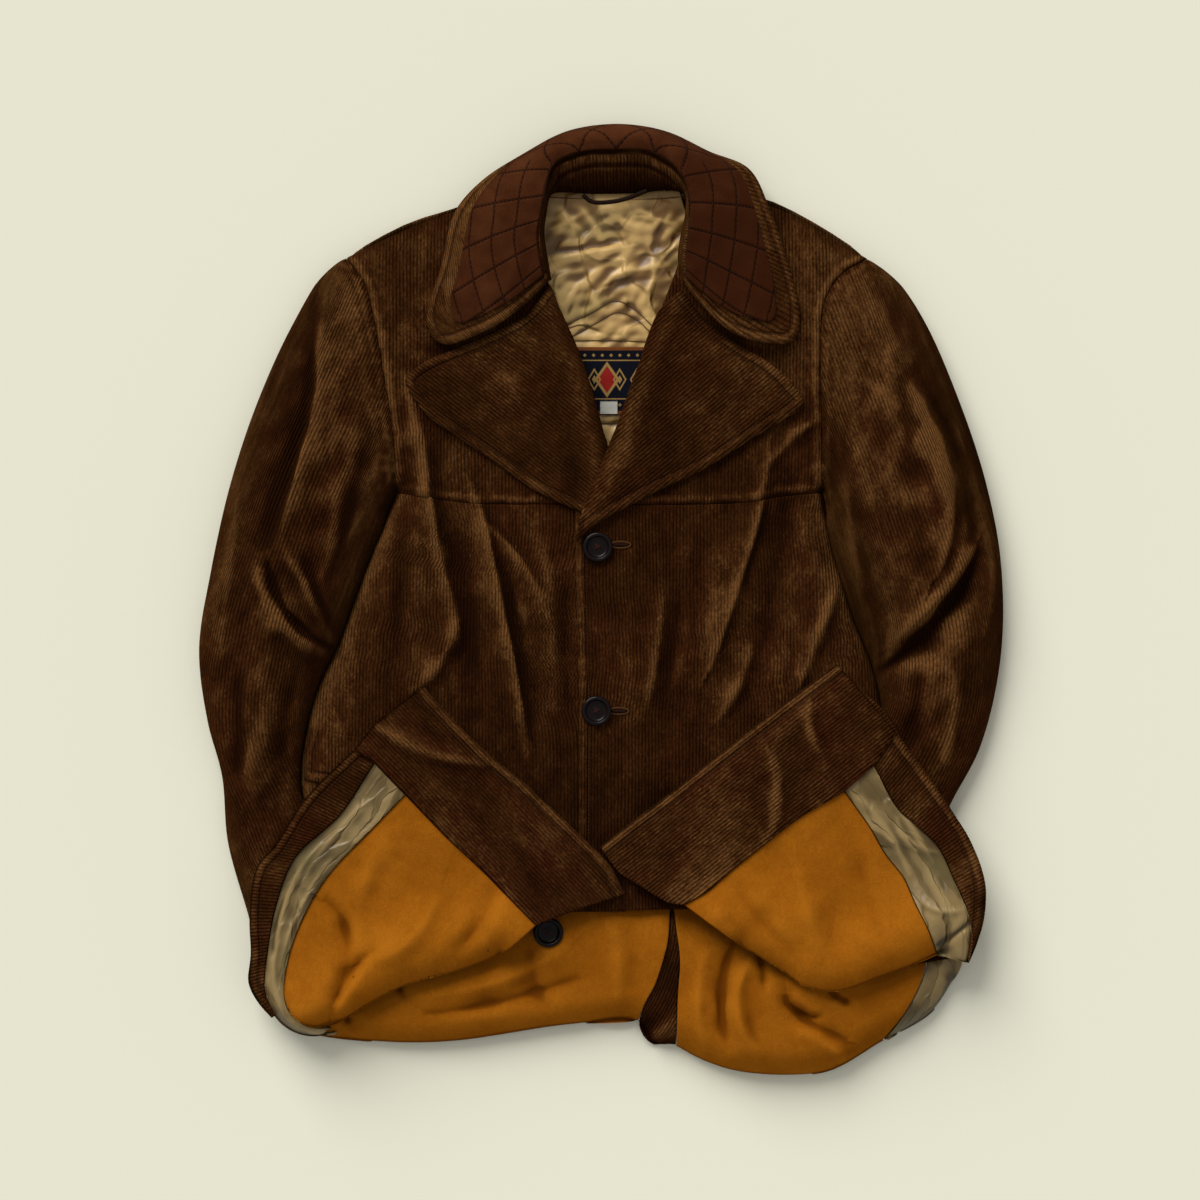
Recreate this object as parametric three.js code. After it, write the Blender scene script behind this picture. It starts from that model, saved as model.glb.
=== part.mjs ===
// A corduroy coat that lies on its back, buttoned, with both front corners turned up to show the lining.
// Millimetres. +X is the wearer's left, +Y is towards the collar, +Z is up, and the floor is at z = 0.
import * as THREE from 'three';

// Driving dimensions
const corduroy = 2.5; // wall of corduroy with its interlining
const lining = 1.4; // wall of wool or satin lining
const seamGap = 0.3; // between two pieces that are sewn together
const layerGap = 0.8; // between two pieces that lie on each other
const chestHeight = 25; // top of the fronts above the floor
const shoulderHeight = 15; // top of the fronts at the shoulder seam
const sideSeamHeight = 8; // where a front meets the back at the side
const sideRoll = 34; // width over which a front rounds down to its side seam
const overlapRise = 3.4; // how far the left front is lifted where it laps over the right
const turnUpHeight = 29; // underside of the turned-up corners
const turnUpPuff = 12; // extra height of the soft roll along their fold
const skirtHeight = 24; // top of the folded-under back skirt
const buttonDiameter = 26;
const buttonThickness = 5;
const edgeHeight = 6; // lowest height of a folded heap at its silhouette
const edgeTuck = 5; // how far a heap's lower edge is rounded under
const besideSleeve = 1.2; // how far inside the sleeve's edge the body's own edge lies
const flapThickness = 2.4;
const bandThickness = 1.6; // satin bands and linings of the turned-up corners
const labelThickness = 0.8;
const tabThickness = 0.6;
const buttonShank = 0.6; // between a button and the cloth under it

// Steps between the points of the grids
const armholeSteps = 8;
const sleeveSteps = 16;
const bodySteps = 13; // sleeve sections that the body's side follows
const acrossSteps = 7;
const frontAcross = 12;
const backAcross = 10;
const lapelSteps = 10;
const collarAlong = 28;
const collarAcross = 8;
const inlayAcross = 4;
const cornerAlong = 12;
const stripAcross = 3;
const skirtAlong = 12;
const skirtAcross = 8;
const neckAlong = 12;
const neckAcross = 6;
const trimSteps = 4;
const flapSteps = 10;

// Even values from one number to another
function shares(from, to, steps) {
  return Array.from({ length: steps + 1 }, (_, i) => from + ((to - from) * i) / steps);
}

// Turns rows of a table into a smooth plan curve. at(t) runs from 0 to 1 by length.
function line(rows) {
  const points = rows.map((row) => new THREE.Vector3(row.x, row.y, 0));
  const curve = new THREE.CatmullRomCurve3(points, false, 'centripetal');
  return {
    at: (t) => curve.getPointAt(THREE.MathUtils.clamp(t, 0, 1)),
    sample: (steps) => shares(0, 1, steps).map((t) => curve.getPointAt(t)),
  };
}

// Distance in plan from a point to a sampled curve, and how far along the curve the nearest place is.
function nearest(samples, x, y) {
  let best = { distance: Infinity, along: 0 };
  for (let i = 0; i + 1 < samples.length; i += 1) {
    const a = samples[i];
    const b = samples[i + 1];
    const length2 = (b.x - a.x) ** 2 + (b.y - a.y) ** 2;
    const t = THREE.MathUtils.clamp(((x - a.x) * (b.x - a.x) + (y - a.y) * (b.y - a.y)) / length2, 0, 1);
    const distance = Math.hypot(a.x + t * (b.x - a.x) - x, a.y + t * (b.y - a.y) - y);
    if (distance < best.distance) best = { distance, along: (i + t) / (samples.length - 1) };
  }
  return best;
}

// Quarter of a circle: 0 at the edge, 1 from the given width inwards.
function roundOff(distance, width) {
  const s = THREE.MathUtils.clamp(distance / width, 0, 1);
  return Math.sqrt(1 - (1 - s) ** 2);
}

// Plan curves. Right is the wearer's right, at -X.
const armholeRight = line([
  { x: -217, y: 292 },
  { x: -202, y: 271 },
  { x: -192, y: 235 },
  { x: -184, y: 189 },
  { x: -177, y: 145 },
  { x: -174, y: 92 },
]);
const armholeLeft = line([
  { x: 229, y: 291 },
  { x: 206, y: 277 },
  { x: 192, y: 254 },
  { x: 188, y: 205 },
  { x: 189, y: 150 },
  { x: 190, y: 92 },
]);
const sleeveInnerRight = line([
  { x: -174, y: 92 },
  { x: -196, y: 45 },
  { x: -212, y: 3 },
  { x: -228, y: -40 },
  { x: -245, y: -76 },
  { x: -258, y: -135 },
  { x: -256, y: -172 },
  { x: -225, y: -215 },
  { x: -184, y: -252 },
  { x: -172, y: -282 },
]);
const sleeveInnerLeft = line([
  { x: 190, y: 92 },
  { x: 203, y: 37 },
  { x: 219, y: -14 },
  { x: 236, y: -58 },
  { x: 243, y: -94 },
  { x: 236, y: -130 },
  { x: 205, y: -170 },
  { x: 170, y: -208 },
  { x: 150, y: -240 },
]);
const sleeveOuterRight = line([
  { x: -217, y: 292 },
  { x: -232, y: 284 },
  { x: -262, y: 236 },
  { x: -291, y: 172 },
  { x: -315, y: 100 },
  { x: -332, y: 24 },
  { x: -342, y: -42 },
  { x: -335, y: -103 },
  { x: -323, y: -150 },
  { x: -318, y: -207 },
  { x: -301, y: -268 },
  { x: -297, y: -284 },
]);
const sleeveOuterLeft = line([
  { x: 229, y: 291 },
  { x: 250, y: 277 },
  { x: 277, y: 238 },
  { x: 309, y: 163 },
  { x: 330, y: 97 },
  { x: 342, y: 32 },
  { x: 342, y: -50 },
  { x: 325, y: -125 },
  { x: 298, y: -178 },
  { x: 282, y: -225 },
  { x: 262, y: -284 },
]);

// Outline of the back over the shoulders and round the neck, from right to left
const shoulderLine = line([
  { x: -217, y: 292 },
  { x: -170, y: 318 },
  { x: -118, y: 337 },
  { x: -78, y: 346 },
  { x: -40, y: 343 },
  { x: 14, y: 341 },
  { x: 66, y: 343 },
  { x: 100, y: 348 },
  { x: 142, y: 341 },
  { x: 188, y: 318 },
  { x: 229, y: 291 },
]);

// Folds in plan: start, bend and end, half width, and rise (below 0 for a trough)
const bodyFolds = [
  { x1: -99, y1: 62, xb: -80, yb: 0, x2: -74, y2: -112, width: 9, rise: 7 },
  { x1: -84, y1: 55, xb: -62, yb: 30, x2: -58, y2: -10, width: 10, rise: 4 },
  { x1: -150, y1: 125, xb: -138, yb: 20, x2: -150, y2: -70, width: 13, rise: 6 },
  { x1: 144, y1: 118, xb: 124, yb: 40, x2: 92, y2: -60, width: 11, rise: 6 },
  { x1: 56, y1: 10, xb: 44, yb: -40, x2: 40, y2: -110, width: 9, rise: 3.5 },
  { x1: 206, y1: 10, xb: 186, yb: -30, x2: 172, y2: -70, width: 8, rise: 4 },
  { x1: -120, y1: 40, xb: -108, yb: -20, x2: -110, y2: -90, width: 16, rise: -5 },
  { x1: 170, y1: 80, xb: 160, yb: 20, x2: 140, y2: -60, width: 18, rise: -5 },
];
const sleeveFolds = [
  { x1: -241, y1: 235, xb: -236, yb: 150, x2: -262, y2: 45, width: 13, rise: 6 },
  { x1: -262, y1: 200, xb: -256, yb: 120, x2: -282, y2: 40, width: 12, rise: -7 },
  { x1: -287, y1: 32, xb: -276, yb: -20, x2: -236, y2: -42, width: 9, rise: 8 },
  { x1: -272, y1: 38, xb: -262, yb: -8, x2: -230, y2: -38, width: 7, rise: -13 },
  { x1: -252, y1: 32, xb: -240, yb: -5, x2: -228, y2: -32, width: 5, rise: -9 },
  { x1: 262, y1: 175, xb: 292, yb: 90, x2: 282, y2: 20, width: 18, rise: 8 },
  { x1: 292, y1: 5, xb: 268, yb: -22, x2: 238, y2: -55, width: 13, rise: -15 },
  { x1: 305, y1: 70, xb: 330, yb: 20, x2: 322, y2: -40, width: 9, rise: -8 },
  { x1: 312, y1: 45, xb: 300, yb: 10, x2: 262, y2: -22, width: 8, rise: 6 },
];
const skirtFolds = [
  { x1: 128, y1: -312, xb: 118, yb: -345, x2: 134, y2: -384, width: 9, rise: 7 },
  { x1: 112, y1: -300, xb: 104, yb: -335, x2: 108, y2: -375, width: 8, rise: -8 },
  { x1: 160, y1: -338, xb: 168, yb: -352, x2: 205, y2: -372, width: 9, rise: -9 },
  { x1: -150, y1: -335, xb: -80, yb: -320, x2: -30, y2: -300, width: 14, rise: 5 },
];

function prepareFolds(folds) {
  return folds.map((fold) => {
    const start = new THREE.Vector2(fold.x1, fold.y1);
    const end = new THREE.Vector2(fold.x2, fold.y2);
    const bend = new THREE.Vector2(fold.xb, fold.yb);
    const control = bend.multiplyScalar(2).sub(start.clone().add(end).multiplyScalar(0.5));
    return { ...fold, samples: new THREE.QuadraticBezierCurve(start, control, end).getPoints(10) };
  });
}

// Sum of the soft ridges and troughs at a plan point
function foldHeight(folds, x, y) {
  return folds.reduce((sum, fold) => {
    const { distance, along } = nearest(fold.samples, x, y);
    const fade = Math.sin(Math.PI * (0.12 + 0.76 * along));
    return sum + fold.rise * Math.exp(-((distance / fold.width) ** 2)) * fade;
  }, 0);
}
const onBody = prepareFolds(bodyFolds);
const onSleeves = prepareFolds(sleeveFolds);
const onSkirt = prepareFolds(skirtFolds);

// Side of the body, from the shoulder to the bottom, at the points that the sleeve's rings use
const cosineSteps = shares(0, Math.PI, armholeSteps).map((angle) => (1 - Math.cos(angle)) / 2);
function sidePoints(armhole, inner) {
  const below = inner.sample(sleeveSteps).slice(1, bodySteps + 1);
  return { armhole: cosineSteps.map((t) => armhole.at(t)), below: [armhole.at(1), ...below] };
}
const sideRight = sidePoints(armholeRight, sleeveInnerRight);
const sideLeft = sidePoints(armholeLeft, sleeveInnerLeft);
const shoulderSamples = shoulderLine.sample(40);
const sideSamples = [sideRight.below, sideLeft.below];

// Top of the cloth of the fronts at a plan point
function frontTop(x, y) {
  const fromSide = Math.min(...sideSamples.map((side) => nearest(side, x, y).distance));
  const belowArm = THREE.MathUtils.smoothstep(95 - y, -45, 25);
  const fromShoulder = nearest(shoulderSamples, x, y).distance;
  const loft = shoulderHeight + (chestHeight - shoulderHeight) * roundOff(fromShoulder, 90);
  const sideHeight = sideSeamHeight + corduroy + seamGap;
  const sideDrop = (loft - sideHeight) * (1 - roundOff(fromSide, sideRoll)) * belowArm;
  const calm = THREE.MathUtils.smoothstep(y, -130, -70) * THREE.MathUtils.smoothstep(fromSide, 0, 30);
  return loft - sideDrop + foldHeight(onBody, x, y) * calm;
}

// The left front is lifted where it laps over the right front
function leftFrontTop(x, y) {
  return frontTop(x, y) + overlapRise * (1 - THREE.MathUtils.smoothstep(x, 22, 60));
}

// Closes two grids of points, one above the other, into one solid. A wrapped grid is a ring.
function solidFromGrids(top, bottom) {
  const rows = top.length;
  const columns = top[0].length;
  const positions = [...top.flat(), ...bottom.flat()].flatMap((p) => [p.x, p.y, p.z]);
  const id = (layer, r, c) => layer * rows * columns + r * columns + c;
  const faces = [];
  const quad = (a, b, c, d) => faces.push(a, b, c, a, c, d);
  for (let r = 0; r + 1 < rows; r += 1) {
    for (let c = 0; c + 1 < columns; c += 1) {
      quad(id(0, r, c), id(0, r, c + 1), id(0, r + 1, c + 1), id(0, r + 1, c));
      quad(id(1, r, c), id(1, r + 1, c), id(1, r + 1, c + 1), id(1, r, c + 1));
    }
    quad(id(0, r, 0), id(0, r + 1, 0), id(1, r + 1, 0), id(1, r, 0));
    quad(id(0, r + 1, columns - 1), id(0, r, columns - 1), id(1, r, columns - 1), id(1, r + 1, columns - 1));
  }
  for (let c = 0; c + 1 < columns; c += 1) {
    quad(id(0, 0, c + 1), id(0, 0, c), id(1, 0, c), id(1, 0, c + 1));
    quad(id(0, rows - 1, c), id(0, rows - 1, c + 1), id(1, rows - 1, c + 1), id(1, rows - 1, c));
  }
  if (signedVolume(positions, faces) < 0) {
    for (let i = 0; i < faces.length; i += 3) [faces[i], faces[i + 1]] = [faces[i + 1], faces[i]];
  }
  const geometry = new THREE.BufferGeometry();
  geometry.setAttribute('position', new THREE.Float32BufferAttribute(positions, 3));
  geometry.setIndex(faces);
  geometry.computeVertexNormals();
  return geometry;
}

function signedVolume(positions, faces) {
  const corner = (i) => new THREE.Vector3().fromArray(positions, 3 * i);
  let sum = 0;
  for (let i = 0; i < faces.length; i += 3) {
    sum += corner(faces[i]).dot(corner(faces[i + 1]).cross(corner(faces[i + 2]))) / 6;
  }
  return sum;
}

// Moves each point of a grid along the grid's own normal
function offsetGrid(grid, distance) {
  const last = grid.length - 1;
  return grid.map((row, r) => row.map((point, c) => {
    const alongRow = row[Math.min(c + 1, row.length - 1)].clone().sub(row[Math.max(c - 1, 0)]);
    const alongColumn = grid[Math.min(r + 1, last)][c].clone().sub(grid[Math.max(r - 1, 0)][c]);
    return point.clone().addScaledVector(alongRow.cross(alongColumn).normalize(), distance);
  }));
}

// Plan grid inside four borders. left and right have the same count, and so have top and bottom.
function patch({ left, right, top, bottom }) {
  return left.map((leftPoint, r) => {
    const v = r / (left.length - 1);
    return top.map((topPoint, c) => {
      const u = c / (top.length - 1);
      const blend = (a, b, t) => a.clone().lerp(b, t);
      const sides = blend(leftPoint, right[r], u);
      const ends = blend(topPoint, bottom[c], v);
      const corners = blend(blend(top[0], top.at(-1), u), blend(bottom[0], bottom.at(-1), u), v);
      return sides.add(ends).sub(corners);
    });
  });
}

// Moves the border of a plan grid inwards, which leaves the gap of a seam
function inset(plan, amount) {
  const lastRow = plan.length - 1;
  const lastColumn = plan[0].length - 1;
  const towards = (p, q) => q.clone().sub(p).setLength(amount);
  return plan.map((row, r) => row.map((p, c) => {
    const moved = p.clone();
    if (c === 0) moved.add(towards(p, row[1]));
    if (c === lastColumn) moved.add(towards(p, row[c - 1]));
    if (r === 0) moved.add(towards(p, plan[1][c]));
    if (r === lastRow) moved.add(towards(p, plan[r - 1][c]));
    return moved;
  }));
}

function lifted(plan, height) {
  return plan.map((row) => row.map((p) => new THREE.Vector3(p.x, p.y, height(p.x, p.y))));
}

// A wall over a plan grid. top(x, y) is its upper surface, and the thickness is measured straight down.
function wallOver(plan, top, thickness) {
  const grid = inset(plan, seamGap / 2);
  return solidFromGrids(lifted(grid, top), lifted(grid, (x, y) => top(x, y) - thickness));
}

// A folded heap that stands on the floor, with its lower edge rounded under
function heapOver(plan, top) {
  const grid = inset(plan, seamGap / 2);
  return solidFromGrids(lifted(grid, top), lifted(inset(grid, edgeTuck), () => 0));
}

// A wall of even thickness below (side -1) or above (side 1) a grid of points in space
function shellFrom(grid, thickness, side) {
  const moved = offsetGrid(grid, thickness);
  const rise = moved.flat().reduce((sum, p) => sum + p.z, 0) - grid.flat().reduce((sum, p) => sum + p.z, 0);
  return solidFromGrids(grid, Math.sign(rise) === side ? moved : offsetGrid(grid, -thickness));
}

const brown = new THREE.MeshStandardMaterial({ color: 0x4a2c12, roughness: 0.92 });
const suede = new THREE.MeshStandardMaterial({ color: 0x4a2717, roughness: 0.95 });
const orange = new THREE.MeshStandardMaterial({ color: 0xb8701a, roughness: 0.95 });
const gold = new THREE.MeshStandardMaterial({ color: 0xa8854a, roughness: 0.4 });
const sage = new THREE.MeshStandardMaterial({ color: 0x857a56, roughness: 0.45 });
const horn = new THREE.MeshStandardMaterial({ color: 0x16100e, roughness: 0.3 });
const woven = new THREE.MeshStandardMaterial({ color: 0x15161c, roughness: 0.8 });

const coat = new THREE.Group();
function add(name, geometry, material) {
  const mesh = new THREE.Mesh(geometry, material);
  mesh.name = name;
  coat.add(mesh);
  return mesh;
}

// Sleeves: a flattened tube in two pieces, the top sleeve and the under sleeve.
// at is the share of the sleeve's length, and right and left are each tube's height above the floor there.
const sleeveSections = [
  { at: 0, right: 25, left: 25 },
  { at: 0.1, right: 33, left: 33 },
  { at: 0.3, right: 38, left: 38 },
  { at: 0.52, right: 38, left: 36 },
  { at: 0.64, right: 34, left: 28 },
  { at: 0.8, right: 26, left: 26 },
  { at: 1, right: 25, left: 25 },
];
const sleeveSeamShare = 0.42; // height of the two lengthwise seams, as a share of the tube's
const topSharpness = 2.3; // superellipse powers
const underSharpness = 4;
const headShare = 0.02; // where on the outer curve the first ring is drawn towards
const headPull = 0.004; // and how far, which keeps its points apart

function columnAt(rows, key, t) {
  const after = rows.findIndex((row) => row.at >= t);
  if (after <= 0) return rows[0][key];
  const [a, b] = [rows[after - 1], rows[after]];
  return THREE.MathUtils.lerp(a[key], b[key], THREE.MathUtils.smoothstep(t, a.at, b.at));
}

// Points across the tube at one section. The first section follows the armhole.
function sleeveRing(sleeve, section, upper) {
  const t = section / sleeveSteps;
  const height = columnAt(sleeveSections, sleeve.side, t);
  const seam = height * sleeveSeamShare;
  const outer = sleeve.outer.at(t);
  const inner = sleeve.inner.at(t);
  return cosineSteps.map((share) => {
    const plan = outer.clone().lerp(inner, share);
    if (section === 0) plan.copy(sleeve.armhole.at(share)).lerp(sleeve.outer.at(headShare), headPull);
    const across = Math.abs(2 * share - 1);
    const power = upper ? topSharpness : underSharpness;
    const arch = (1 - across ** power) ** (1 / power);
    if (!upper) return plan.setZ((seam - seamGap / 2) * (1 - arch));
    const folds = foldHeight(onSleeves, plan.x, plan.y) * arch * Math.min(1, section / 3);
    return plan.setZ(seam + seamGap / 2 + (height - seam) * arch + folds);
  });
}

function addSleeve(sleeve) {
  for (const upper of [true, false]) {
    const rings = Array.from({ length: sleeveSteps + 1 }, (_, i) => sleeveRing(sleeve, i, upper));
    const moved = offsetGrid(rings, corduroy);
    const inwards = (moved[5][4].z < rings[5][4].z) === upper;
    const inside = inwards ? moved : offsetGrid(rings, -corduroy);
    inside.forEach((row, r) => row.forEach((p) => p.setZ((upper ? Math.max : Math.min)(p.z, rings[r][0].z))));
    add(`${upper ? 'top' : 'under'}_sleeve_${sleeve.side}`, solidFromGrids(rings, inside), brown);
  }
}
addSleeve({ side: 'right', outer: sleeveOuterRight, inner: sleeveInnerRight, armhole: armholeRight });
addSleeve({ side: 'left', outer: sleeveOuterLeft, inner: sleeveInnerLeft, armhole: armholeLeft });

// Body's edges, beside the sleeves
function movedIn(points, amount) {
  return points.map((p) => new THREE.Vector3(p.x - Math.sign(p.x) * amount, p.y, 0));
}
const besideArm = (side) => ({
  armhole: movedIn(side.armhole, besideSleeve),
  below: movedIn(side.below, besideSleeve),
});
const edgeRight = besideArm(sideRight);
const edgeLeft = besideArm(sideLeft);

// Yokes: the fronts above the chest seam, with the roll lines of the lapels as their inner edges
const shoulderSeamRight = line([
  { x: -215.8, y: 292 },
  { x: -170, y: 314 },
  { x: -118, y: 333 },
  { x: -54, y: 339 },
]);
const shoulderSeamLeft = line([
  { x: 76, y: 340 },
  { x: 142, y: 337 },
  { x: 188, y: 314 },
  { x: 227.8, y: 291 },
]);
const rollRight = line([
  { x: -54, y: 339 },
  { x: -54, y: 306 },
  { x: -44, y: 270 },
  { x: -34, y: 248 },
  { x: -16, y: 207 },
  { x: 2, y: 144 },
  { x: -4, y: 118 },
  { x: -20, y: 82 },
]);
const rollLeft = line([
  { x: 76, y: 340 },
  { x: 72, y: 306 },
  { x: 65, y: 282 },
  { x: 52, y: 248 },
  { x: 33, y: 201 },
  { x: 14, y: 148 },
  { x: -4, y: 99 },
  { x: -13, y: 82 },
]);
const yokeSeamRight = line([
  { x: -172.8, y: 92 },
  { x: -144, y: 87 },
  { x: -102, y: 82 },
  { x: -20, y: 82 },
]);
const yokeSeamLeft = line([
  { x: -13, y: 82 },
  { x: 60, y: 81 },
  { x: 119, y: 83 },
  { x: 153, y: 88 },
  { x: 188.8, y: 92 },
]);

function addYoke(side, left, right, top, bottom, height) {
  const plan = patch({ left, right, top, bottom });
  add(`front_yoke_${side}`, wallOver(plan, height, corduroy), brown);
}
addYoke(
  'right',
  edgeRight.armhole,
  rollRight.sample(armholeSteps),
  shoulderSeamRight.sample(acrossSteps),
  yokeSeamRight.sample(acrossSteps),
  frontTop,
);
addYoke(
  'left',
  rollLeft.sample(armholeSteps),
  edgeLeft.armhole,
  shoulderSeamLeft.sample(acrossSteps),
  yokeSeamLeft.sample(acrossSteps),
  leftFrontTop,
);

// Fronts, from the chest seam down to the folds of the turned-up corners
const topEdgeRight = line([
  { x: -172.8, y: 92 },
  { x: -144, y: 87 },
  { x: -102, y: 82 },
  { x: -20, y: 81.6 },
  { x: 22, y: 80 },
]);
const topEdgeLeft = line([
  { x: -21, y: 82 },
  { x: 60, y: 81 },
  { x: 119, y: 83 },
  { x: 153, y: 88 },
  { x: 188.8, y: 92 },
]);
const frontEdgeRight = line([
  { x: 22, y: 80 },
  { x: 22, y: -262 },
]);
const frontEdgeLeft = line([
  { x: -21, y: 82 },
  { x: -21, y: 45 },
  { x: -18, y: -94 },
  { x: -19, y: -262 },
]);
const lowEdgeRight = new THREE.CatmullRomCurve3([
  edgeRight.below.at(-1),
  new THREE.Vector3(-190, -232, 0),
  new THREE.Vector3(-150, -264, 0),
  new THREE.Vector3(-100, -273, 0),
  new THREE.Vector3(-50, -262, 0),
  new THREE.Vector3(22, -262, 0),
]);
const lowEdgeLeft = new THREE.CatmullRomCurve3([
  new THREE.Vector3(-19, -262, 0),
  new THREE.Vector3(62, -260, 0),
  new THREE.Vector3(100, -262, 0),
  new THREE.Vector3(130, -246, 0),
  new THREE.Vector3(154, -206, 0),
  edgeLeft.below.at(-1),
]);
function spaced(curve, steps) {
  return shares(0, 1, steps).map((t) => curve.getPointAt(t));
}
const frontRight = patch({
  left: edgeRight.below,
  right: frontEdgeRight.sample(bodySteps),
  top: topEdgeRight.sample(frontAcross),
  bottom: spaced(lowEdgeRight, frontAcross),
});
const frontLeft = patch({
  left: frontEdgeLeft.sample(bodySteps),
  right: edgeLeft.below,
  top: topEdgeLeft.sample(frontAcross),
  bottom: spaced(lowEdgeLeft, frontAcross),
});
add('front_right', wallOver(frontRight, frontTop, corduroy), brown);
add('front_left', wallOver(frontLeft, leftFrontTop, corduroy), brown);

// Back: it lies on the floor and turns up at its edges to meet the fronts
const backRise = 24; // width over which the back turns up at the shoulder
const shoulderClearance = 3; // between the back's edge and the yokes at the shoulder
const sideClearance = 2;
function backTop(x, y) {
  const fromSide = Math.min(...sideSamples.map((side) => nearest(side, x, y).distance));
  const belowArm = THREE.MathUtils.smoothstep(95 - y, 0, 30);
  const atSide = (sideSeamHeight - sideClearance) * (1 - roundOff(fromSide, sideRoll)) * belowArm;
  const fromShoulder = nearest(shoulderSamples, x, y).distance;
  const armEnd = THREE.MathUtils.smoothstep(215 - Math.abs(x - 6), -10, 20);
  const atShoulder = shoulderHeight - corduroy - shoulderClearance - corduroy;
  return corduroy + Math.max(atSide, atShoulder * (1 - roundOff(fromShoulder, backRise)) * armEnd);
}
const backLow = new THREE.CatmullRomCurve3([
  edgeRight.below.at(-1),
  new THREE.Vector3(-120, -236, 0),
  new THREE.Vector3(100, -236, 0),
  edgeLeft.below.at(-1),
]);
const backEdge = (edge) => [...edge.armhole, ...edge.below.slice(1)];
const backShoulder = line([
  { x: -215.8, y: 292 },
  { x: -170, y: 318 },
  { x: -118, y: 338 },
  { x: -78, y: 346 },
  { x: -40, y: 343 },
  { x: 14, y: 341 },
  { x: 66, y: 343 },
  { x: 100, y: 348 },
  { x: 142, y: 341 },
  { x: 188, y: 318 },
  { x: 227.8, y: 291 },
]);
const backPlan = patch({
  left: backEdge(edgeRight),
  right: backEdge(edgeLeft),
  top: backShoulder.sample(backAcross),
  bottom: spaced(backLow, backAcross),
});
add('back', wallOver(backPlan, backTop, corduroy), brown);

// Lapels: leaves that are turned out over the yokes
const lapelRollWidth = 11;
const lapelRoll = 3.5; // extra height of the soft roll
const lapelThickness = 3;
function lapelTop(below, roll) {
  const samples = roll.sample(24);
  return (x, y) => {
    const { distance } = nearest(samples, x, y);
    const bulge = lapelRoll * Math.exp(-(((distance - lapelRollWidth) / lapelRollWidth) ** 2));
    return below(x, y) + layerGap + lapelThickness + bulge;
  };
}
const lapelsAbove = [
  {
    side: 'right',
    below: frontTop,
    roll: rollRight,
    gorge: [[-161, 194], [-147, 199], [-111, 209], [-66, 228], [-43, 268]],
    outer: [[-161, 176], [-147, 157], [-123, 139], [-88, 116], [-54, 92], [-19, 72]],
    tip: [[-161, 194], [-166, 186], [-161, 176]],
    rollEdge: [[-43, 268], [-34, 248], [-16, 207], [2, 144], [-3, 118], [-19, 72]],
  },
  {
    side: 'left',
    below: leftFrontTop,
    roll: rollLeft,
    gorge: [[168, 178], [156, 188], [133, 204], [110, 215], [93, 228], [70, 264]],
    outer: [[166, 159], [133, 139], [87, 110], [51, 93], [6, 69], [-10, 58], [-22, 47]],
    tip: [[168, 178], [173, 169], [166, 159]],
    rollEdge: [[70, 264], [52, 248], [33, 201], [14, 148], [-5, 99], [-13, 82], [-22, 47]],
  },
];
const fromPairs = (pairs) => line(pairs.map(([x, y]) => ({ x, y })));
for (const lapel of lapelsAbove) {
  const plan = patch({
    left: fromPairs(lapel.tip).sample(acrossSteps),
    right: fromPairs(lapel.rollEdge).sample(acrossSteps),
    top: fromPairs(lapel.gorge).sample(lapelSteps),
    bottom: fromPairs(lapel.outer).sample(lapelSteps),
  });
  add(`lapel_${lapel.side}`, wallOver(plan, lapelTop(lapel.below, lapel.roll), lapelThickness), brown);
}

// Collar: sections from the right notch round the neck to the left notch.
// o is the outer edge, r the roll line and s the foot of the stand.
const collarSections = [
  { ox: -138, oy: 211, oz: 31, rx: -44, ry: 269, rz: 37, sx: -41, sy: 272, sz: 29 },
  { ox: -148, oy: 238, oz: 30, rx: -48, ry: 288, rz: 41, sx: -44, sy: 290, sz: 27 },
  { ox: -136, oy: 283, oz: 28, rx: -51, ry: 310, rz: 43, sx: -47, sy: 311, sz: 27 },
  { ox: -124, oy: 331, oz: 24, rx: -49, ry: 334, rz: 44, sx: -45, sy: 330, sz: 25 },
  { ox: -100, oy: 359, oz: 17, rx: -46, ry: 358, rz: 43, sx: -41, sy: 345, sz: 20 },
  { ox: -66, oy: 382, oz: 9, rx: -38, ry: 376, rz: 41, sx: -30, sy: 347, sz: 17 },
  { ox: -28, oy: 402, oz: 6, rx: -16, ry: 386, rz: 39, sx: -10, sy: 346, sz: 16 },
  { ox: 14, oy: 408, oz: 6, rx: 14, ry: 388, rz: 39, sx: 13, sy: 346, sz: 16 },
  { ox: 56, oy: 402, oz: 6, rx: 44, ry: 386, rz: 39, sx: 38, sy: 347, sz: 16 },
  { ox: 94, oy: 384, oz: 9, rx: 62, ry: 374, rz: 41, sx: 58, sy: 349, sz: 17 },
  { ox: 128, oy: 368, oz: 17, rx: 75, ry: 352, rz: 43, sx: 71, sy: 345, sz: 20 },
  { ox: 144, oy: 336, oz: 24, rx: 76, ry: 330, rz: 44, sx: 72, sy: 328, sz: 25 },
  { ox: 158, oy: 296, oz: 28, rx: 72, ry: 308, rz: 43, sx: 68, sy: 309, sz: 27 },
  { ox: 170, oy: 248, oz: 30, rx: 70, ry: 288, rz: 41, sx: 66, sy: 290, sz: 27 },
  { ox: 169, oy: 214, oz: 31, rx: 72, ry: 267, rz: 37, sx: 70, sy: 271, sz: 29 },
];
const collarSeat = 1.7; // how far the collar is let down onto the yokes
const leafBulge = 4; // how far the collar's leaf arches above a straight line
const rollAt = 0.62; // share of the section that lies between the outer edge and the roll line
function collarRails() {
  const rail = (a) => new THREE.CatmullRomCurve3(
    collarSections.map((row) => new THREE.Vector3(row[`${a}x`], row[`${a}y`], row[`${a}z`] - collarSeat)),
    false,
    'centripetal',
  );
  return { outer: rail('o'), roll: rail('r'), foot: rail('s') };
}
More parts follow.
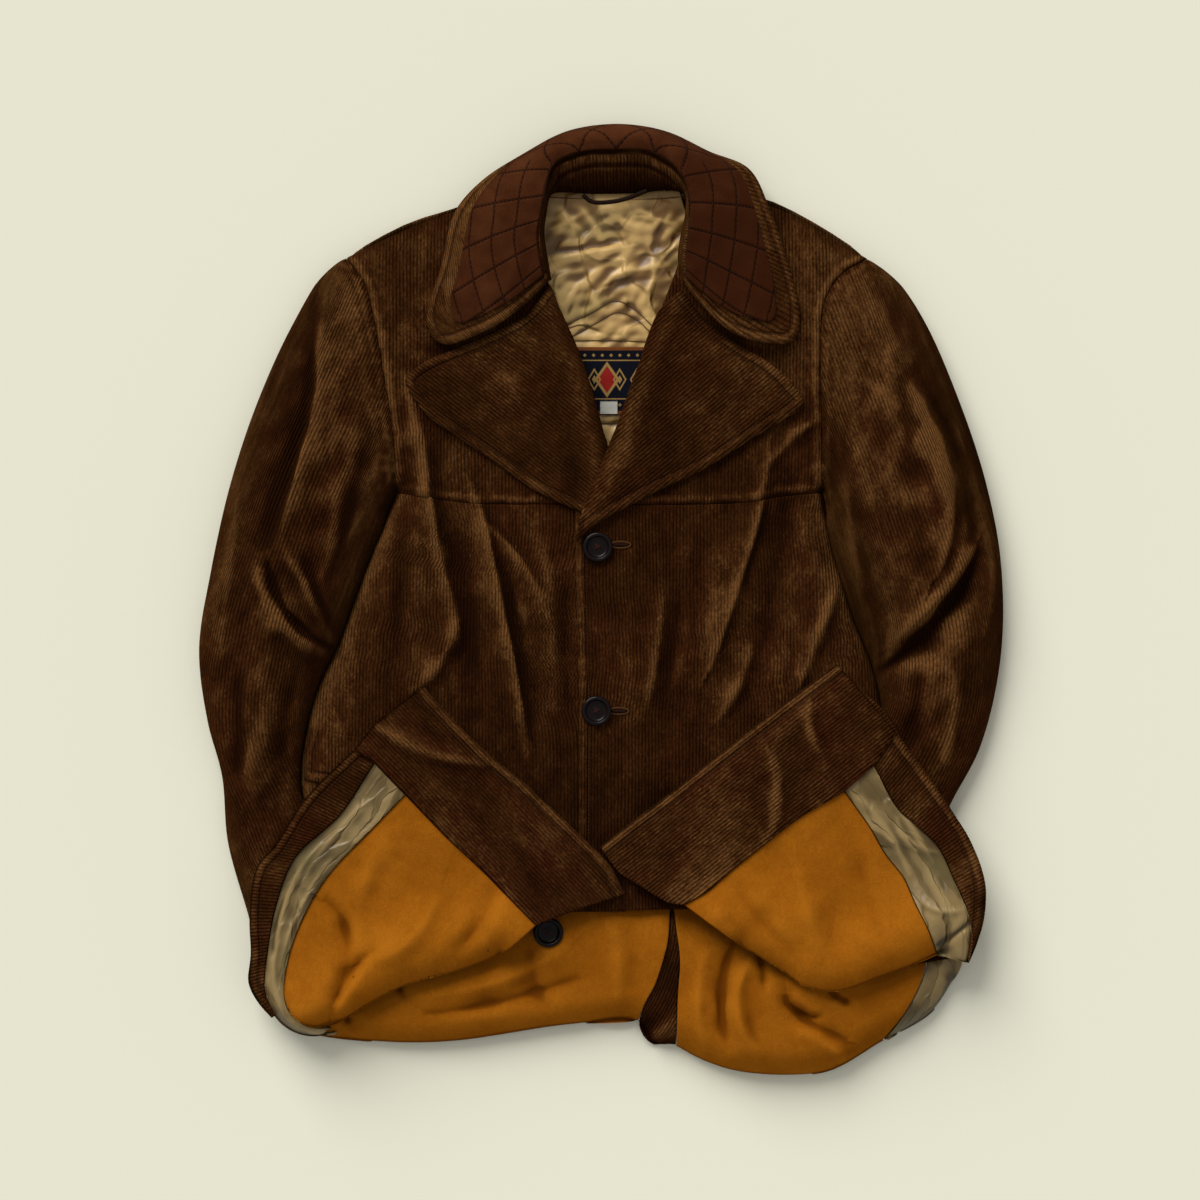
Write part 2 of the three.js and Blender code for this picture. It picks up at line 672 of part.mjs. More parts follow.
const rails = collarRails();
function collarPoint(along, across) {
  const outer = rails.outer.getPoint(along);
  const roll = rails.roll.getPoint(along);
  const foot = rails.foot.getPoint(along);
  if (across <= rollAt) {
    const share = across / rollAt;
    const point = outer.clone().lerp(roll, share);
    point.z = outer.z + (roll.z - outer.z) * Math.sin((share * Math.PI) / 2);
    point.z += leafBulge * Math.sin(share * Math.PI) * (1 - share);
    return point;
  }
  const share = (across - rollAt) / (1 - rollAt);
  const point = roll.clone().lerp(foot, share);
  point.z = foot.z + (roll.z - foot.z) * Math.cos((share * Math.PI) / 2) ** 0.9;
  return point;
}
function collarPart(along, across) {
  return along.map((u) => across.map((v) => collarPoint(u, v)));
}
const collarGrid = collarPart(shares(0, 1, collarAlong), shares(0, 1, collarAcross));
add('collar', shellFrom(collarGrid, corduroy, -1), brown);

// Suede inlay: made from the collar's points, moved out
const inlayThickness = 1.2;
const inlayLift = 1; // between the inlay and the collar under it
const inlayEnd = 0.03; // shares of the collar's length and section that the inlay covers
const inlayOuter = 0.13;
const inlayInner = 0.54;
const inlayGrid = collarPart(
  shares(inlayEnd, 1 - inlayEnd, collarAlong),
  shares(inlayOuter, inlayInner, inlayAcross),
);
const liftedInlay = offsetGrid(inlayGrid, inlayLift);
const inlayUp = liftedInlay[3][3].z > inlayGrid[3][3].z;
const inlayUnder = inlayUp ? liftedInlay : offsetGrid(inlayGrid, -inlayLift);
add('collar_inlay', shellFrom(inlayUnder, inlayThickness, 1), suede);

// Turned-up corners. Each has the front's own cloth below, and on it the facing, hem, satin band and lining.
const cornerTables = {
  right: {
    front: [[-150, -72], [-141, -83], [-98, -127], [-59, -159], [-22, -194], [8, -224], [21, -249]],
    hem: [[-150, -72], [-193, -107], [-209, -127], [-250, -168], [-275, -207], [-291, -226], [-297, -268],
      [-299, -305], [-297, -330], [-277, -354], [-258, -368]],
    hemIn: [[-191, -138], [-221, -183], [-258, -218], [-274, -257], [-282, -300], [-286, -330],
      [-272, -352], [-256, -362]],
    satinIn: [[-165, -165], [-193, -194], [-230, -233], [-249, -264], [-263, -300], [-266, -333], [-255, -352]],
    facingIn: [[-209, -127], [-191, -138], [-165, -165], [-130, -201], [-98, -231], [-74, -255], [-54, -275]],
    facingEnd: [[21, -249], [-8, -259], [-34, -268], [-54, -275]],
    foldUpper: [[-54, -275], [-85, -300], [-119, -313], [-144, -319]],
    foldLower: [[-255, -352], [-240, -364], [-217, -353], [-196, -342], [-170, -328], [-144, -319]],
    curl: [[-304, -322], [-299, -334], [-279, -358], [-258, -371], [-238, -371], [-226, -366]],
    fold: [[-85, -302], [-119, -315], [-144, -321], [-170, -330], [-196, -345], [-226, -366]],
  },
  left: {
    front: [[201, -54], [168, -78], [109, -123], [61, -162], [26, -188], [0, -209]],
    hem: [[201, -54], [218, -73], [241, -93], [264, -131], [280, -152], [298, -178], [315, -206], [326, -240],
      [325, -268], [317, -290], [310, -308]],
    hemIn: [[232, -140], [252, -176], [286, -209], [300, -238], [311, -265], [311, -288], [303, -303]],
    satinIn: [[207, -162], [229, -193], [241, -214], [257, -235], [267, -258], [276, -276], [284, -291]],
    facingIn: [[251, -112], [232, -140], [207, -162], [168, -185], [133, -212], [109, -231], [90, -247],
      [71, -258]],
    facingEnd: [[0, -209], [16, -231], [35, -243], [57, -256], [71, -258]],
    foldUpper: [[71, -258], [121, -293], [152, -312], [171, -326]],
    foldLower: [[284, -291], [264, -306], [233, -321], [200, -331], [171, -326]],
    curl: [[334, -262], [330, -280], [316, -312], [300, -318]],
    fold: [[118, -295], [152, -315], [171, -330], [200, -336], [233, -325], [264, -310], [290, -298]],
  },
};
const foldDrop = 9; // how far a corner comes down along its fold
const foldWidth = 20;
const puffFrom = 26; // where the soft roll along a corner's fold is highest
const puffWidth = 30;
const curlDrop = 24; // how far a corner comes down where it curls under
const curlWidth = 28;
const rollSpace = 5; // how much further apart a corner's layers are in the roll
const cornerFolds = prepareFolds([
  { x1: -184, y1: -111, xb: -145, yb: -130, x2: -89, y2: -140, width: 7, rise: 2.5 },
  { x1: 178, y1: -88, xb: 178, yb: -108, x2: 188, y2: -132, width: 7, rise: 2.5 },
  { x1: 145, y1: -133, xb: 151, yb: -165, x2: 143, y2: -202, width: 7, rise: 2.5 },
  { x1: -235, y1: -262, xb: -215, yb: -285, x2: -222, y2: -330, width: 9, rise: -4 },
  { x1: -190, y1: -300, xb: -212, yb: -318, x2: -222, y2: -345, width: 9, rise: -5 },
]);
function cornerHeights(table) {
  const curl = fromPairs(table.curl).sample(12);
  const fold = fromPairs(table.fold).sample(14);
  const base = (x, y) => {
    const fromCurl = nearest(curl, x, y).distance;
    const fromFold = nearest(fold, x, y).distance;
    const puff = turnUpPuff * Math.exp(-(((fromFold - puffFrom) / puffWidth) ** 2));
    const drop = foldDrop * (1 - roundOff(fromFold, foldWidth));
    const down = (curlDrop + puff) * (1 - roundOff(fromCurl, curlWidth));
    return Math.max(1, turnUpHeight + puff + foldHeight(cornerFolds, x, y) - drop - down);
  };
  const carrier = (x, y) => {
    const fromRoll = Math.min(nearest(curl, x, y).distance, nearest(fold, x, y).distance);
    return base(x, y) + corduroy - rollSpace * Math.exp(-((fromRoll / curlWidth) ** 2));
  };
  return { base, carrier };
}
const cornerGap = 1.5; // between a corner's own cloth and what is sewn on it
const turnedEdge = 0.6; // how far a corner's own cloth stays inside its outline
const facingEdge = 0.5;
function addCorner(side) {
  const table = cornerTables[side];
  const { base, carrier } = cornerHeights(table);
  const front = fromPairs(table.front);
  const hem = fromPairs(table.hem);
  const carrierFold = fromPairs([...table.facingEnd, ...table.foldUpper.slice(1)]);
  const carrierPlan = patch({
    left: hem.sample(cornerAlong),
    right: carrierFold.sample(cornerAlong),
    top: front.sample(cornerAlong),
    bottom: fromPairs([[hem.at(1).x, hem.at(1).y], ...table.foldLower.slice(1)]).sample(cornerAlong),
  });
  add(`turned_up_front_${side}`, wallOver(inset(carrierPlan, turnedEdge), carrier, corduroy), brown);

  const over = corduroy + cornerGap;
  const facingPlan = patch({
    left: fromPairs([table.hem[0], table.hem[1], table.facingIn[0]]).sample(stripAcross),
    right: fromPairs(table.facingEnd).sample(stripAcross),
    top: front.sample(cornerAlong),
    bottom: fromPairs(table.facingIn).sample(cornerAlong),
  });
  const onTop = (thickness) => (x, y) => base(x, y) + over + thickness;
  add(`facing_${side}`, wallOver(inset(facingPlan, facingEdge), onTop(corduroy), corduroy), brown);

  const outerHem = fromPairs([table.facingIn[0], ...table.hem.slice(side === 'right' ? 3 : 4)]);
  const innerHem = fromPairs(table.hemIn);
  const hemPlan = patch({
    left: outerHem.sample(cornerAlong),
    right: innerHem.sample(cornerAlong),
    top: fromPairs([table.facingIn[0], table.hemIn[0]]).sample(stripAcross),
    bottom: fromPairs([table.hem.at(-1), table.hemIn.at(-1)]).sample(stripAcross),
  });
  add(`hem_${side}`, wallOver(hemPlan, onTop(corduroy), corduroy), brown);

  const innerSatin = fromPairs(table.satinIn);
  const satinPlan = patch({
    left: innerHem.sample(cornerAlong),
    right: innerSatin.sample(cornerAlong),
    top: fromPairs([table.hemIn[0], table.satinIn[0]]).sample(stripAcross),
    bottom: fromPairs([table.hemIn.at(-1), table.satinIn.at(-1)]).sample(stripAcross),
  });
  add(`satin_band_${side}`, wallOver(satinPlan, onTop(bandThickness), bandThickness), sage);

  const facingPart = fromPairs(table.facingIn.slice(2));
  const liningPlan = patch({
    left: innerSatin.sample(cornerAlong),
    right: fromPairs(table.foldUpper).sample(cornerAlong),
    top: facingPart.sample(cornerAlong - 2),
    bottom: fromPairs(table.foldLower).sample(cornerAlong - 2),
  });
  add(`front_lining_${side}`, wallOver(liningPlan, onTop(bandThickness), bandThickness), orange);
}
addCorner('right');
addCorner('left');

// Lower back: its inside shows, and it is folded under along the bottom
const bottomEdge = line([
  { x: -262, y: -366 },
  { x: -236, y: -375 },
  { x: -212, y: -377 },
  { x: -162, y: -380 },
  { x: -119, y: -378 },
  { x: -76, y: -372 },
  { x: -32, y: -365 },
  { x: 33, y: -361 },
  { x: 45, y: -379 },
  { x: 64, y: -382 },
  { x: 85, y: -393 },
  { x: 114, y: -403 },
  { x: 156, y: -407 },
  { x: 193, y: -404 },
  { x: 212, y: -396 },
  { x: 241, y: -378 },
  { x: 283, y: -354 },
  { x: 302, y: -328 },
]);
const bottomSamples = bottomEdge.sample(60);
const skirtRounding = 26;
const leftPuff = { x: 160, y: -350, radius: 62, rise: 8 };
const underFold = 11; // how far the skirt lies lower where it comes out from under the corners
const underFoldWidth = 18;
const foldShare = 0.6; // how much of its folds the heap shows
const underlapDrop = 2; // how far the vent's underlap lies below the linings
const upperSamples = line([
  { x: -240, y: -330 },
  { x: -150, y: -300 },
  { x: -60, y: -258 },
  { x: 64, y: -254 },
  { x: 170, y: -305 },
  { x: 280, y: -290 },
]).sample(20);
function skirtTop(x, y) {
  const rounded = roundOff(nearest(bottomSamples, x, y).distance, skirtRounding);
  const away = Math.hypot(x - leftPuff.x, y - leftPuff.y) / leftPuff.radius;
  const puff = leftPuff.rise * Math.exp(-(away ** 2));
  const low = underFold * Math.exp(-((nearest(upperSamples, x, y).distance / underFoldWidth) ** 2));
  return Math.max(edgeHeight, (skirtHeight + puff - low + foldHeight(onSkirt, x, y) * foldShare) * rounded);
}
const ventEdge = [[60, -264], [58, -289], [54, -306], [47, -327], [38, -344], [32.5, -360]];
const rightSkirt = patch({
  left: fromPairs([[-222, -305], [-240, -340], [-245, -371]]).sample(skirtAcross),
  right: fromPairs(ventEdge).sample(skirtAcross),
  top: fromPairs([[-222, -305], [-150, -292], [-60, -266], [60, -264]]).sample(skirtAlong),
  bottom: fromPairs([
    [-245, -371], [-212, -376], [-162, -379], [-119, -377], [-32, -364], [32.5, -360],
  ]).sample(skirtAlong),
});
const leftSkirt = patch({
  left: fromPairs([[63, -264], [66, -280], [68, -306], [66, -340], [65, -382]]).sample(skirtAcross),
  right: fromPairs([[278, -280], [276, -312], [257, -350], [229, -383], [194, -402]]).sample(skirtAcross),
  top: fromPairs([[63, -264], [110, -272], [170, -300], [230, -300], [278, -280]]).sample(skirtAlong),
  bottom: fromPairs([[65, -382], [85, -393], [114, -403], [156, -406], [194, -402]]).sample(skirtAlong),
});
const satinSkirt = patch({
  left: fromPairs([[279, -280], [277, -312], [258, -350], [230, -383], [195, -403]]).sample(skirtAlong),
  right: fromPairs([
    [305, -280], [309, -305], [300, -329], [283, -353], [241, -377], [198, -404],
  ]).sample(skirtAlong),
  top: fromPairs([[279, -280], [305, -280]]).sample(stripAcross),
  bottom: fromPairs([[195, -403], [198, -404]]).sample(stripAcross),
});
const underlap = patch({
  left: fromPairs([
    [60.6, -276], [58.4, -289], [54.4, -306], [47.4, -327], [38.4, -344], [33, -361],
  ]).sample(skirtAcross),
  right: fromPairs([[65.3, -276], [67.7, -306], [65.7, -340], [64.6, -381]]).sample(skirtAcross),
  top: fromPairs([[60.6, -276], [65.3, -276]]).sample(stripAcross),
  bottom: fromPairs([[33, -361], [38, -373], [46, -380], [64.6, -381]]).sample(stripAcross),
});
add('back_lining_right', heapOver(rightSkirt, skirtTop), orange);
add('back_lining_left', heapOver(leftSkirt, skirtTop), orange);
add('satin_band_back', heapOver(satinSkirt, skirtTop), sage);
add('vent_underlap', heapOver(underlap, (x, y) => skirtTop(x, y) - underlapDrop), brown);

// Neck lining on the inside of the back, with the label, its size tab and the hanger loop
const neckHeight = 4.3; // top of the neck lining, where it lies on the back
const neckRise = 7; // extra height at the neck seam
const neckWave = 1.4;
function neckTop(x, y) {
  const nearNeck = THREE.MathUtils.smoothstep(y, 300, 342);
  return neckHeight + neckRise * nearNeck + neckWave * Math.sin(y / 17 + x / 31) ** 2;
}
const neckPlan = patch({
  left: fromPairs([[-38, 341], [-60, 300], [-50, 230], [-20, 140], [-12, 92]]).sample(neckAlong),
  right: fromPairs([[62, 342], [80, 300], [66, 230], [40, 150], [4, 92]]).sample(neckAlong),
  top: fromPairs([[-38, 341], [12, 339], [62, 342]]).sample(neckAcross),
  bottom: fromPairs([[-12, 92], [4, 92]]).sample(neckAcross),
});
add('neck_lining', wallOver(neckPlan, neckTop, lining), gold);

// A small flat piece that follows the neck lining
function neckPatch(name, box, lift, thickness, material) {
  const plan = patch({
    left: fromPairs([[box.x1, box.y2], [box.x1, box.y1]]).sample(trimSteps),
    right: fromPairs([[box.x2, box.y2], [box.x2, box.y1]]).sample(trimSteps),
    top: fromPairs([[box.x1, box.y2], [box.x2, box.y2]]).sample(trimSteps),
    bottom: fromPairs([[box.x1, box.y1], [box.x2, box.y1]]).sample(trimSteps),
  });
  add(name, wallOver(plan, (x, y) => neckTop(x, y) + lift + thickness, thickness), material);
}
const labelLift = 0.5; // between the label and the neck lining
const tabLift = labelLift + labelThickness + 0.4;
neckPatch('label', { x1: -30, x2: 42, y1: 158, y2: 214 }, labelLift, labelThickness, woven);
neckPatch('size_tab', { x1: 0, x2: 15, y1: 159, y2: 170 }, tabLift, tabThickness, gold);

// Hanger loop: a cord that sags between its two ends at the neck seam
const cordHeight = 16.7; // underside above the floor
const cordHalf = 2; // half its thickness
const cordFar = [[-15, 347.5], [-4, 343], [14, 339.5], [32, 343.5], [43, 348.5]];
const cordPlan = patch({
  left: fromPairs([cordFar.at(0), [-14, 343.5]]).sample(trimSteps),
  right: fromPairs([cordFar.at(-1), [42, 344.5]]).sample(trimSteps),
  top: fromPairs(cordFar).sample(flapSteps),
  bottom: fromPairs([[-14, 343.5], [-4, 339], [14, 335.5], [32, 339.5], [42, 344.5]]).sample(flapSteps),
});
const roundRows = cordPlan.map((row, r) => row.map((p) => {
  const share = r / (cordPlan.length - 1);
  return new THREE.Vector3(p.x, p.y, cordHeight + cordHalf * (1 + Math.sin(Math.PI * share)));
}));
add('hanger_loop', solidFromGrids(roundRows, lifted(cordPlan, () => cordHeight)), brown);

// Pocket flap on the right front. Most of it lies under the turned-up corner.
const pocketPlan = patch({
  left: fromPairs([[-246, -109], [-252, -131], [-253, -153]]).sample(trimSteps),
  right: fromPairs([[-112, -118], [-112, -160]]).sample(trimSteps),
  top: fromPairs([[-246, -109], [-207, -116], [-112, -118]]).sample(flapSteps),
  bottom: fromPairs([[-253, -153], [-207, -160], [-112, -160]]).sample(flapSteps),
});
const flapLift = 0.6; // between the flap and the front
const flapTop = (x, y) => frontTop(x, y) + flapLift + flapThickness;
add('pocket_flap_right', wallOver(pocketPlan, flapTop, flapThickness), brown);

// Buttons: a raised rim round a sunk middle
const buttonSides = 18;
const buttonSeats = [
  { name: 'button_1', x: -2, y: 45, top: null, tilt: 0 },
  { name: 'button_2', x: -3, y: -94, top: null, tilt: 0 },
  { name: 'button_3', x: -44, y: -283, top: 24, tilt: 0.1 },
];
const buttonRadius = buttonDiameter / 2;
const buttonProfile = [
  new THREE.Vector2(0, 0),
  new THREE.Vector2(buttonRadius * 0.72, 0),
  new THREE.Vector2(buttonRadius * 0.96, buttonThickness * 0.34),
  new THREE.Vector2(buttonRadius, buttonThickness * 0.56),
  new THREE.Vector2(buttonRadius * 0.94, buttonThickness * 0.86),
  new THREE.Vector2(buttonRadius * 0.82, buttonThickness),
  new THREE.Vector2(buttonRadius * 0.7, buttonThickness * 0.84),
  new THREE.Vector2(buttonRadius * 0.6, buttonThickness * 0.6),
  new THREE.Vector2(0, buttonThickness * 0.66),
];
for (const seat of buttonSeats) {
  const geometry = new THREE.LatheGeometry(buttonProfile, buttonSides);
  geometry.rotateX(Math.PI / 2 - seat.tilt);
  const mesh = add(seat.name, geometry, horn);
  mesh.position.set(seat.x, seat.y, seat.top ?? leftFrontTop(seat.x, seat.y) + buttonShank);
}

export default coat;
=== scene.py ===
import math

import bpy
import numpy as np
from mathutils import Matrix


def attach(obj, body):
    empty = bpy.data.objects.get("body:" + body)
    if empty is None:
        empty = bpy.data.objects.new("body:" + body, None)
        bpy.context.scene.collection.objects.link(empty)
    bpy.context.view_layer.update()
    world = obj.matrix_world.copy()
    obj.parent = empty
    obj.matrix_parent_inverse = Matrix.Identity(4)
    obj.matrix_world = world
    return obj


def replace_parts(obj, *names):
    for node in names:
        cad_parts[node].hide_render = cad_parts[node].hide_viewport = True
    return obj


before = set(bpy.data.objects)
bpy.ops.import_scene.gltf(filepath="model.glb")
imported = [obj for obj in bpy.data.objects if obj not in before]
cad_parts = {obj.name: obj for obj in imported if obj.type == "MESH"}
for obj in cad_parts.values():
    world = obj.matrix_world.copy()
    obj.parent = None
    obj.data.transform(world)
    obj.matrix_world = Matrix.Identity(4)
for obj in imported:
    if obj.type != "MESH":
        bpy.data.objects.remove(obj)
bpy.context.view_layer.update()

mm = 0.001
photoScale = 0.85 * mm  # metres for each pixel of the photograph
frameSide = 1200 * photoScale

# Camera straight above the coat, with a long lens
camera = {"lens": 100.0, "sensor": 36.0, "focusHeight": 0.026}
cameraHeight = frameSide * camera["lens"] / camera["sensor"] + camera["focusHeight"]
cam = bpy.data.objects.new("camera", bpy.data.cameras.new("camera"))
cam.data.lens = camera["lens"]
cam.data.sensor_width = camera["sensor"]
cam.data.clip_end = 30
cam.location = (0, 0, cameraHeight)
bpy.context.scene.collection.objects.link(cam)
bpy.context.scene.camera = cam

# Even light from the upper left, and a plain room
lighting = {"from": (-0.44, 0.9, 0.62), "power": 3.22, "softness": 40.0, "room": 0.46, "floor": (0.80, 0.78, 0.63, 1)}
towardsLight = np.array(lighting["from"]) / np.linalg.norm(lighting["from"])
sun = bpy.data.lights.new("window", "SUN")
sun.energy = lighting["power"]
sun.angle = math.radians(lighting["softness"])
window = bpy.data.objects.new("window", sun)
window.rotation_euler = (math.acos(towardsLight[2]), 0, math.atan2(towardsLight[0], -towardsLight[1]))
bpy.context.scene.collection.objects.link(window)
room = bpy.data.worlds.new("room")
room.use_nodes = True
room.node_tree.nodes["Background"].inputs[0].default_value = (1.0, 1.0, 1.0, 1)
room.node_tree.nodes["Background"].inputs[1].default_value = lighting["room"]
bpy.context.scene.world = room
bpy.context.scene.view_settings.view_transform = "Standard"


# A short way to add and join the nodes of one tree
class Nodes:
    def __init__(self, tree):
        self.tree = tree

    def put(self, socket, value):
        if isinstance(value, bpy.types.NodeSocket):
            self.tree.links.new(value, socket)
        elif value is not None:
            socket.default_value = value

    def add(self, kind, values=None, **settings):
        node = self.tree.nodes.new(kind)
        for key, value in settings.items():
            setattr(node, key, value)
        for key, value in (values or {}).items():
            self.put(node.inputs[key], value)
        return node

    def math(self, operation, a, b=None, c=None, clamp=False):
        node = self.add("ShaderNodeMath", operation=operation, use_clamp=clamp)
        for socket, value in zip(node.inputs, (a, b, c)):
            self.put(socket, value)
        return node.outputs[0]

    def noise(self, vector, scale, detail=2.0, rough=0.5, distortion=0.0):
        values = {"Vector": vector, "Scale": scale, "Detail": detail, "Roughness": rough, "Distortion": distortion}
        return self.add("ShaderNodeTexNoise", values).outputs[0]

    def step(self, value, low, high, toLow=0.0, toHigh=1.0):
        values = {"Value": value, "From Min": low, "From Max": high, "To Min": toLow, "To Max": toHigh}
        return self.add("ShaderNodeMapRange", values, interpolation_type="SMOOTHSTEP").outputs[0]

    def mix(self, factor, a, b, blend="MIX"):
        node = self.add("ShaderNodeMix", data_type="RGBA", blend_type=blend)
        for socket, value in zip((node.inputs[0], node.inputs[6], node.inputs[7]), (factor, a, b)):
            self.put(socket, value)
        return node.outputs[2]

    def stretched(self, vector, *scale):
        return self.add("ShaderNodeMapping", {"Vector": vector, "Scale": (*scale, 1)}).outputs[0]

    def split(self, vector):
        return self.add("ShaderNodeSeparateXYZ", {"Vector": vector}).outputs

    def joined(self, x, y, z=0.0):
        return self.add("ShaderNodeCombineXYZ", {"X": x, "Y": y, "Z": z}).outputs[0]

    def cloth(self):
        return self.add("ShaderNodeUVMap", uv_map="cloth").outputs[0]

    def attribute(self, name):
        return self.add("ShaderNodeAttribute", attribute_name=name).outputs["Fac"]

    def use(self, tree, **values):
        node = self.add("ShaderNodeGroup", node_tree=tree)
        for key, value in values.items():
            self.put(node.inputs[key], value)
        return node.outputs


def group(name, inputs, outputs):
    tree = bpy.data.node_groups.new(name, "ShaderNodeTree")
    for label, kind, default in inputs:
        socket = tree.interface.new_socket(name=label, in_out="INPUT", socket_type=kind)
        if default is not None:
            socket.default_value = default
    for label, kind in outputs:
        tree.interface.new_socket(name=label, in_out="OUTPUT", socket_type=kind)
    n = Nodes(tree)
    return tree, n, n.add("NodeGroupInput").outputs, n.add("NodeGroupOutput").inputs


# A new material, its nodes and its shader, with the numbers that don't change over the surface
def material(name, **settings):
    look = bpy.data.materials.new(name)
    look.use_nodes = True
    shader = look.node_tree.nodes["Principled BSDF"]
    for key, value in settings.items():
        shader.inputs[key.replace("_", " ")].default_value = value
    return look, Nodes(look.node_tree), shader.inputs


vec, num = "NodeSocketVector", "NodeSocketFloat"

# Corduroy wales: U runs across them and V along them, in metres
walesTree, n, i, o = group(
    "corduroy_wales",
    [("Cloth", vec, None), ("Pitch", num, 0.0029), ("Wander", num, 0.0006)],
    [("Height", num), ("Groove", num), ("Nap", num)],
)
u, v, _ = n.split(i["Cloth"])
wander = n.noise(n.stretched(i["Cloth"], 24, 12), 1.0, 2.0)
across = n.math("MULTIPLY_ADD", n.math("SUBTRACT", wander, 0.5), n.math("MULTIPLY", i["Wander"], 4.0), u)
phase = n.math("DIVIDE", across, i["Pitch"])
wave = n.math("COSINE", n.math("MULTIPLY", phase, 2 * math.pi))
rounded = n.math("POWER", n.math("MULTIPLY_ADD", wave, 0.5, 0.5), 0.6)
tuft = n.noise(n.joined(n.math("MULTIPLY", phase, 1.3), n.math("MULTIPLY", v, 900.0)), 1.0, 2.0)
n.put(o["Height"], n.math("MULTIPLY_ADD", n.math("SUBTRACT", tuft, 0.5), 0.5, rounded))
worn = n.noise(n.stretched(i["Cloth"], 46, 17), 1.0, 4.0, 0.7, 1.0)
n.put(o["Groove"], n.math("MULTIPLY", n.step(rounded, 0.8, 0.1), n.step(worn, 0.62, 0.4, 0.25, 1.0)))
n.put(o["Nap"], n.noise(n.stretched(i["Cloth"], 620, 260), 1.0, 4.0, 0.75))

# Wear of the pile and painted light and shade: lighter on crests and on slopes facing the light, darker in hollows as
# painted shade, with worn and crushed places at random
wearAndShadeTree, n, i, o = group(
    "pile_wear_and_shade",
    [("Cloth", vec, None), ("Crest", num, 0.0), ("Seed", num, 0.0)],
    [("Light", num), ("Dark", num), ("Fleck", num)],
)
place = n.add("ShaderNodeVectorMath", {0: i["Cloth"], 1: n.joined(i["Seed"], i["Seed"])}, operation="ADD").outputs[0]
broad = n.noise(n.stretched(place, 16, 8), 1.0, 3.0, 0.6, 0.8)
streak = n.noise(n.stretched(place, 110, 44), 1.0, 4.0, 0.75, 2.0)
crush = n.noise(n.stretched(place, 260, 120), 1.0, 4.0, 0.75, 2.0)
raw = n.math("MULTIPLY_ADD", i["Crest"], 0.36, n.math("SUBTRACT", broad, 0.5))
raw = n.math("MULTIPLY_ADD", n.math("SUBTRACT", streak, 0.5), 0.75, raw)
raw = n.math("MULTIPLY_ADD", n.math("SUBTRACT", crush, 0.5), 1.0, raw)
n.put(o["Light"], n.step(raw, -0.02, 0.62))
n.put(o["Dark"], n.step(raw, 0.06, -0.42))
n.put(o["Fleck"], n.math("MULTIPLY", n.step(crush, 0.6, 0.75), n.step(broad, 0.38, 0.6)))

# A row of stitches at a set distance from a sewn edge
stitchTree, n, i, o = group(
    "stitch_row",
    [("Distance", num, 0.0), ("Along", num, 0.0), ("Inset", num, 0.0085), ("Pitch", num, 0.0032), ("Width", num, 0.0007)],
    [("Thread", num), ("Furrow", num), ("Edge", num)],
)
off = n.math("ABSOLUTE", n.math("SUBTRACT", i["Distance"], i["Inset"]))
dash = n.math("ABSOLUTE", n.math("SUBTRACT", n.math("FRACT", n.math("DIVIDE", i["Along"], i["Pitch"])), 0.5))
inLine = n.step(off, i["Width"], n.math("MULTIPLY", i["Width"], 0.3))
n.put(o["Thread"], n.math("MULTIPLY", inLine, n.step(dash, 0.42, 0.34)))
n.put(o["Furrow"], n.step(off, n.math("MULTIPLY", i["Width"], 3.0), 0.0))
n.put(o["Edge"], n.step(i["Distance"], 0.0045, 0.0008))

# Crumpled cloth: flat facets that lean different ways, with thin creases between them
crumpleTree, n, i, o = group(
    "crumpled",
    [("Cloth", vec, None), ("Across", num, 30.0), ("Along", num, 30.0), ("Warp", num, 0.01)],
    [("Height", num), ("Crease", num), ("Facet", num)],
)
bend = n.add("ShaderNodeTexNoise", {"Vector": i["Cloth"], "Scale": 45.0, "Detail": 2.0}).outputs["Color"]
bend = n.add("ShaderNodeVectorMath", {0: bend, 1: (0.5, 0.5, 0.5)}, operation="SUBTRACT").outputs[0]
bend = n.add("ShaderNodeVectorMath", {0: bend, "Scale": i["Warp"]}, operation="SCALE").outputs[0]
bent = n.add("ShaderNodeVectorMath", {0: i["Cloth"], 1: bend}, operation="ADD").outputs[0]
bent = n.add("ShaderNodeVectorMath", {0: bent, 1: n.joined(i["Across"], i["Along"])}, operation="MULTIPLY").outputs[0]
cell = n.add("ShaderNodeTexVoronoi", {"Vector": bent, "Scale": 1.0, "Smoothness": 0.3}, feature="SMOOTH_F1").outputs
lean = n.add("ShaderNodeVectorMath", {0: cell["Color"], 1: (0.5, 0.5, 0.5)}, operation="SUBTRACT").outputs[0]
fromMiddle = n.add("ShaderNodeVectorMath", {0: bent, 1: cell["Position"]}, operation="SUBTRACT").outputs[0]
facet = n.add("ShaderNodeVectorMath", {0: lean, 1: fromMiddle}, operation="DOT_PRODUCT").outputs["Value"]
border = n.add("ShaderNodeTexVoronoi", {"Vector": bent, "Scale": 1.0}, feature="DISTANCE_TO_EDGE").outputs["Distance"]
fine = n.add("ShaderNodeTexVoronoi", {"Vector": bent, "Scale": 2.7}, feature="DISTANCE_TO_EDGE").outputs["Distance"]
height = n.math("MULTIPLY_ADD", facet, 1.7, n.math("MULTIPLY", n.step(border, 0.0, 0.5), 0.1))
n.put(o["Height"], n.math("MULTIPLY_ADD", n.step(fine, 0.0, 0.4), 0.03, height))
n.put(o["Crease"], n.step(border, 0.07, 0.0))
n.put(o["Facet"], n.split(cell["Color"])[2])

# worn is also the colour of painted light, and deep the colour of painted shade
corduroyLook = {
    "deep": (0.0072, 0.0023, 0.0010, 1),
    "base": (0.044, 0.0146, 0.0036, 1),
    "worn": (0.165, 0.070, 0.0205, 1),
    "red": (0.05, 0.0122, 0.0040, 1),
    "thread": (0.05, 0.02, 0.008, 1),
    "bump": 0.0009,
}


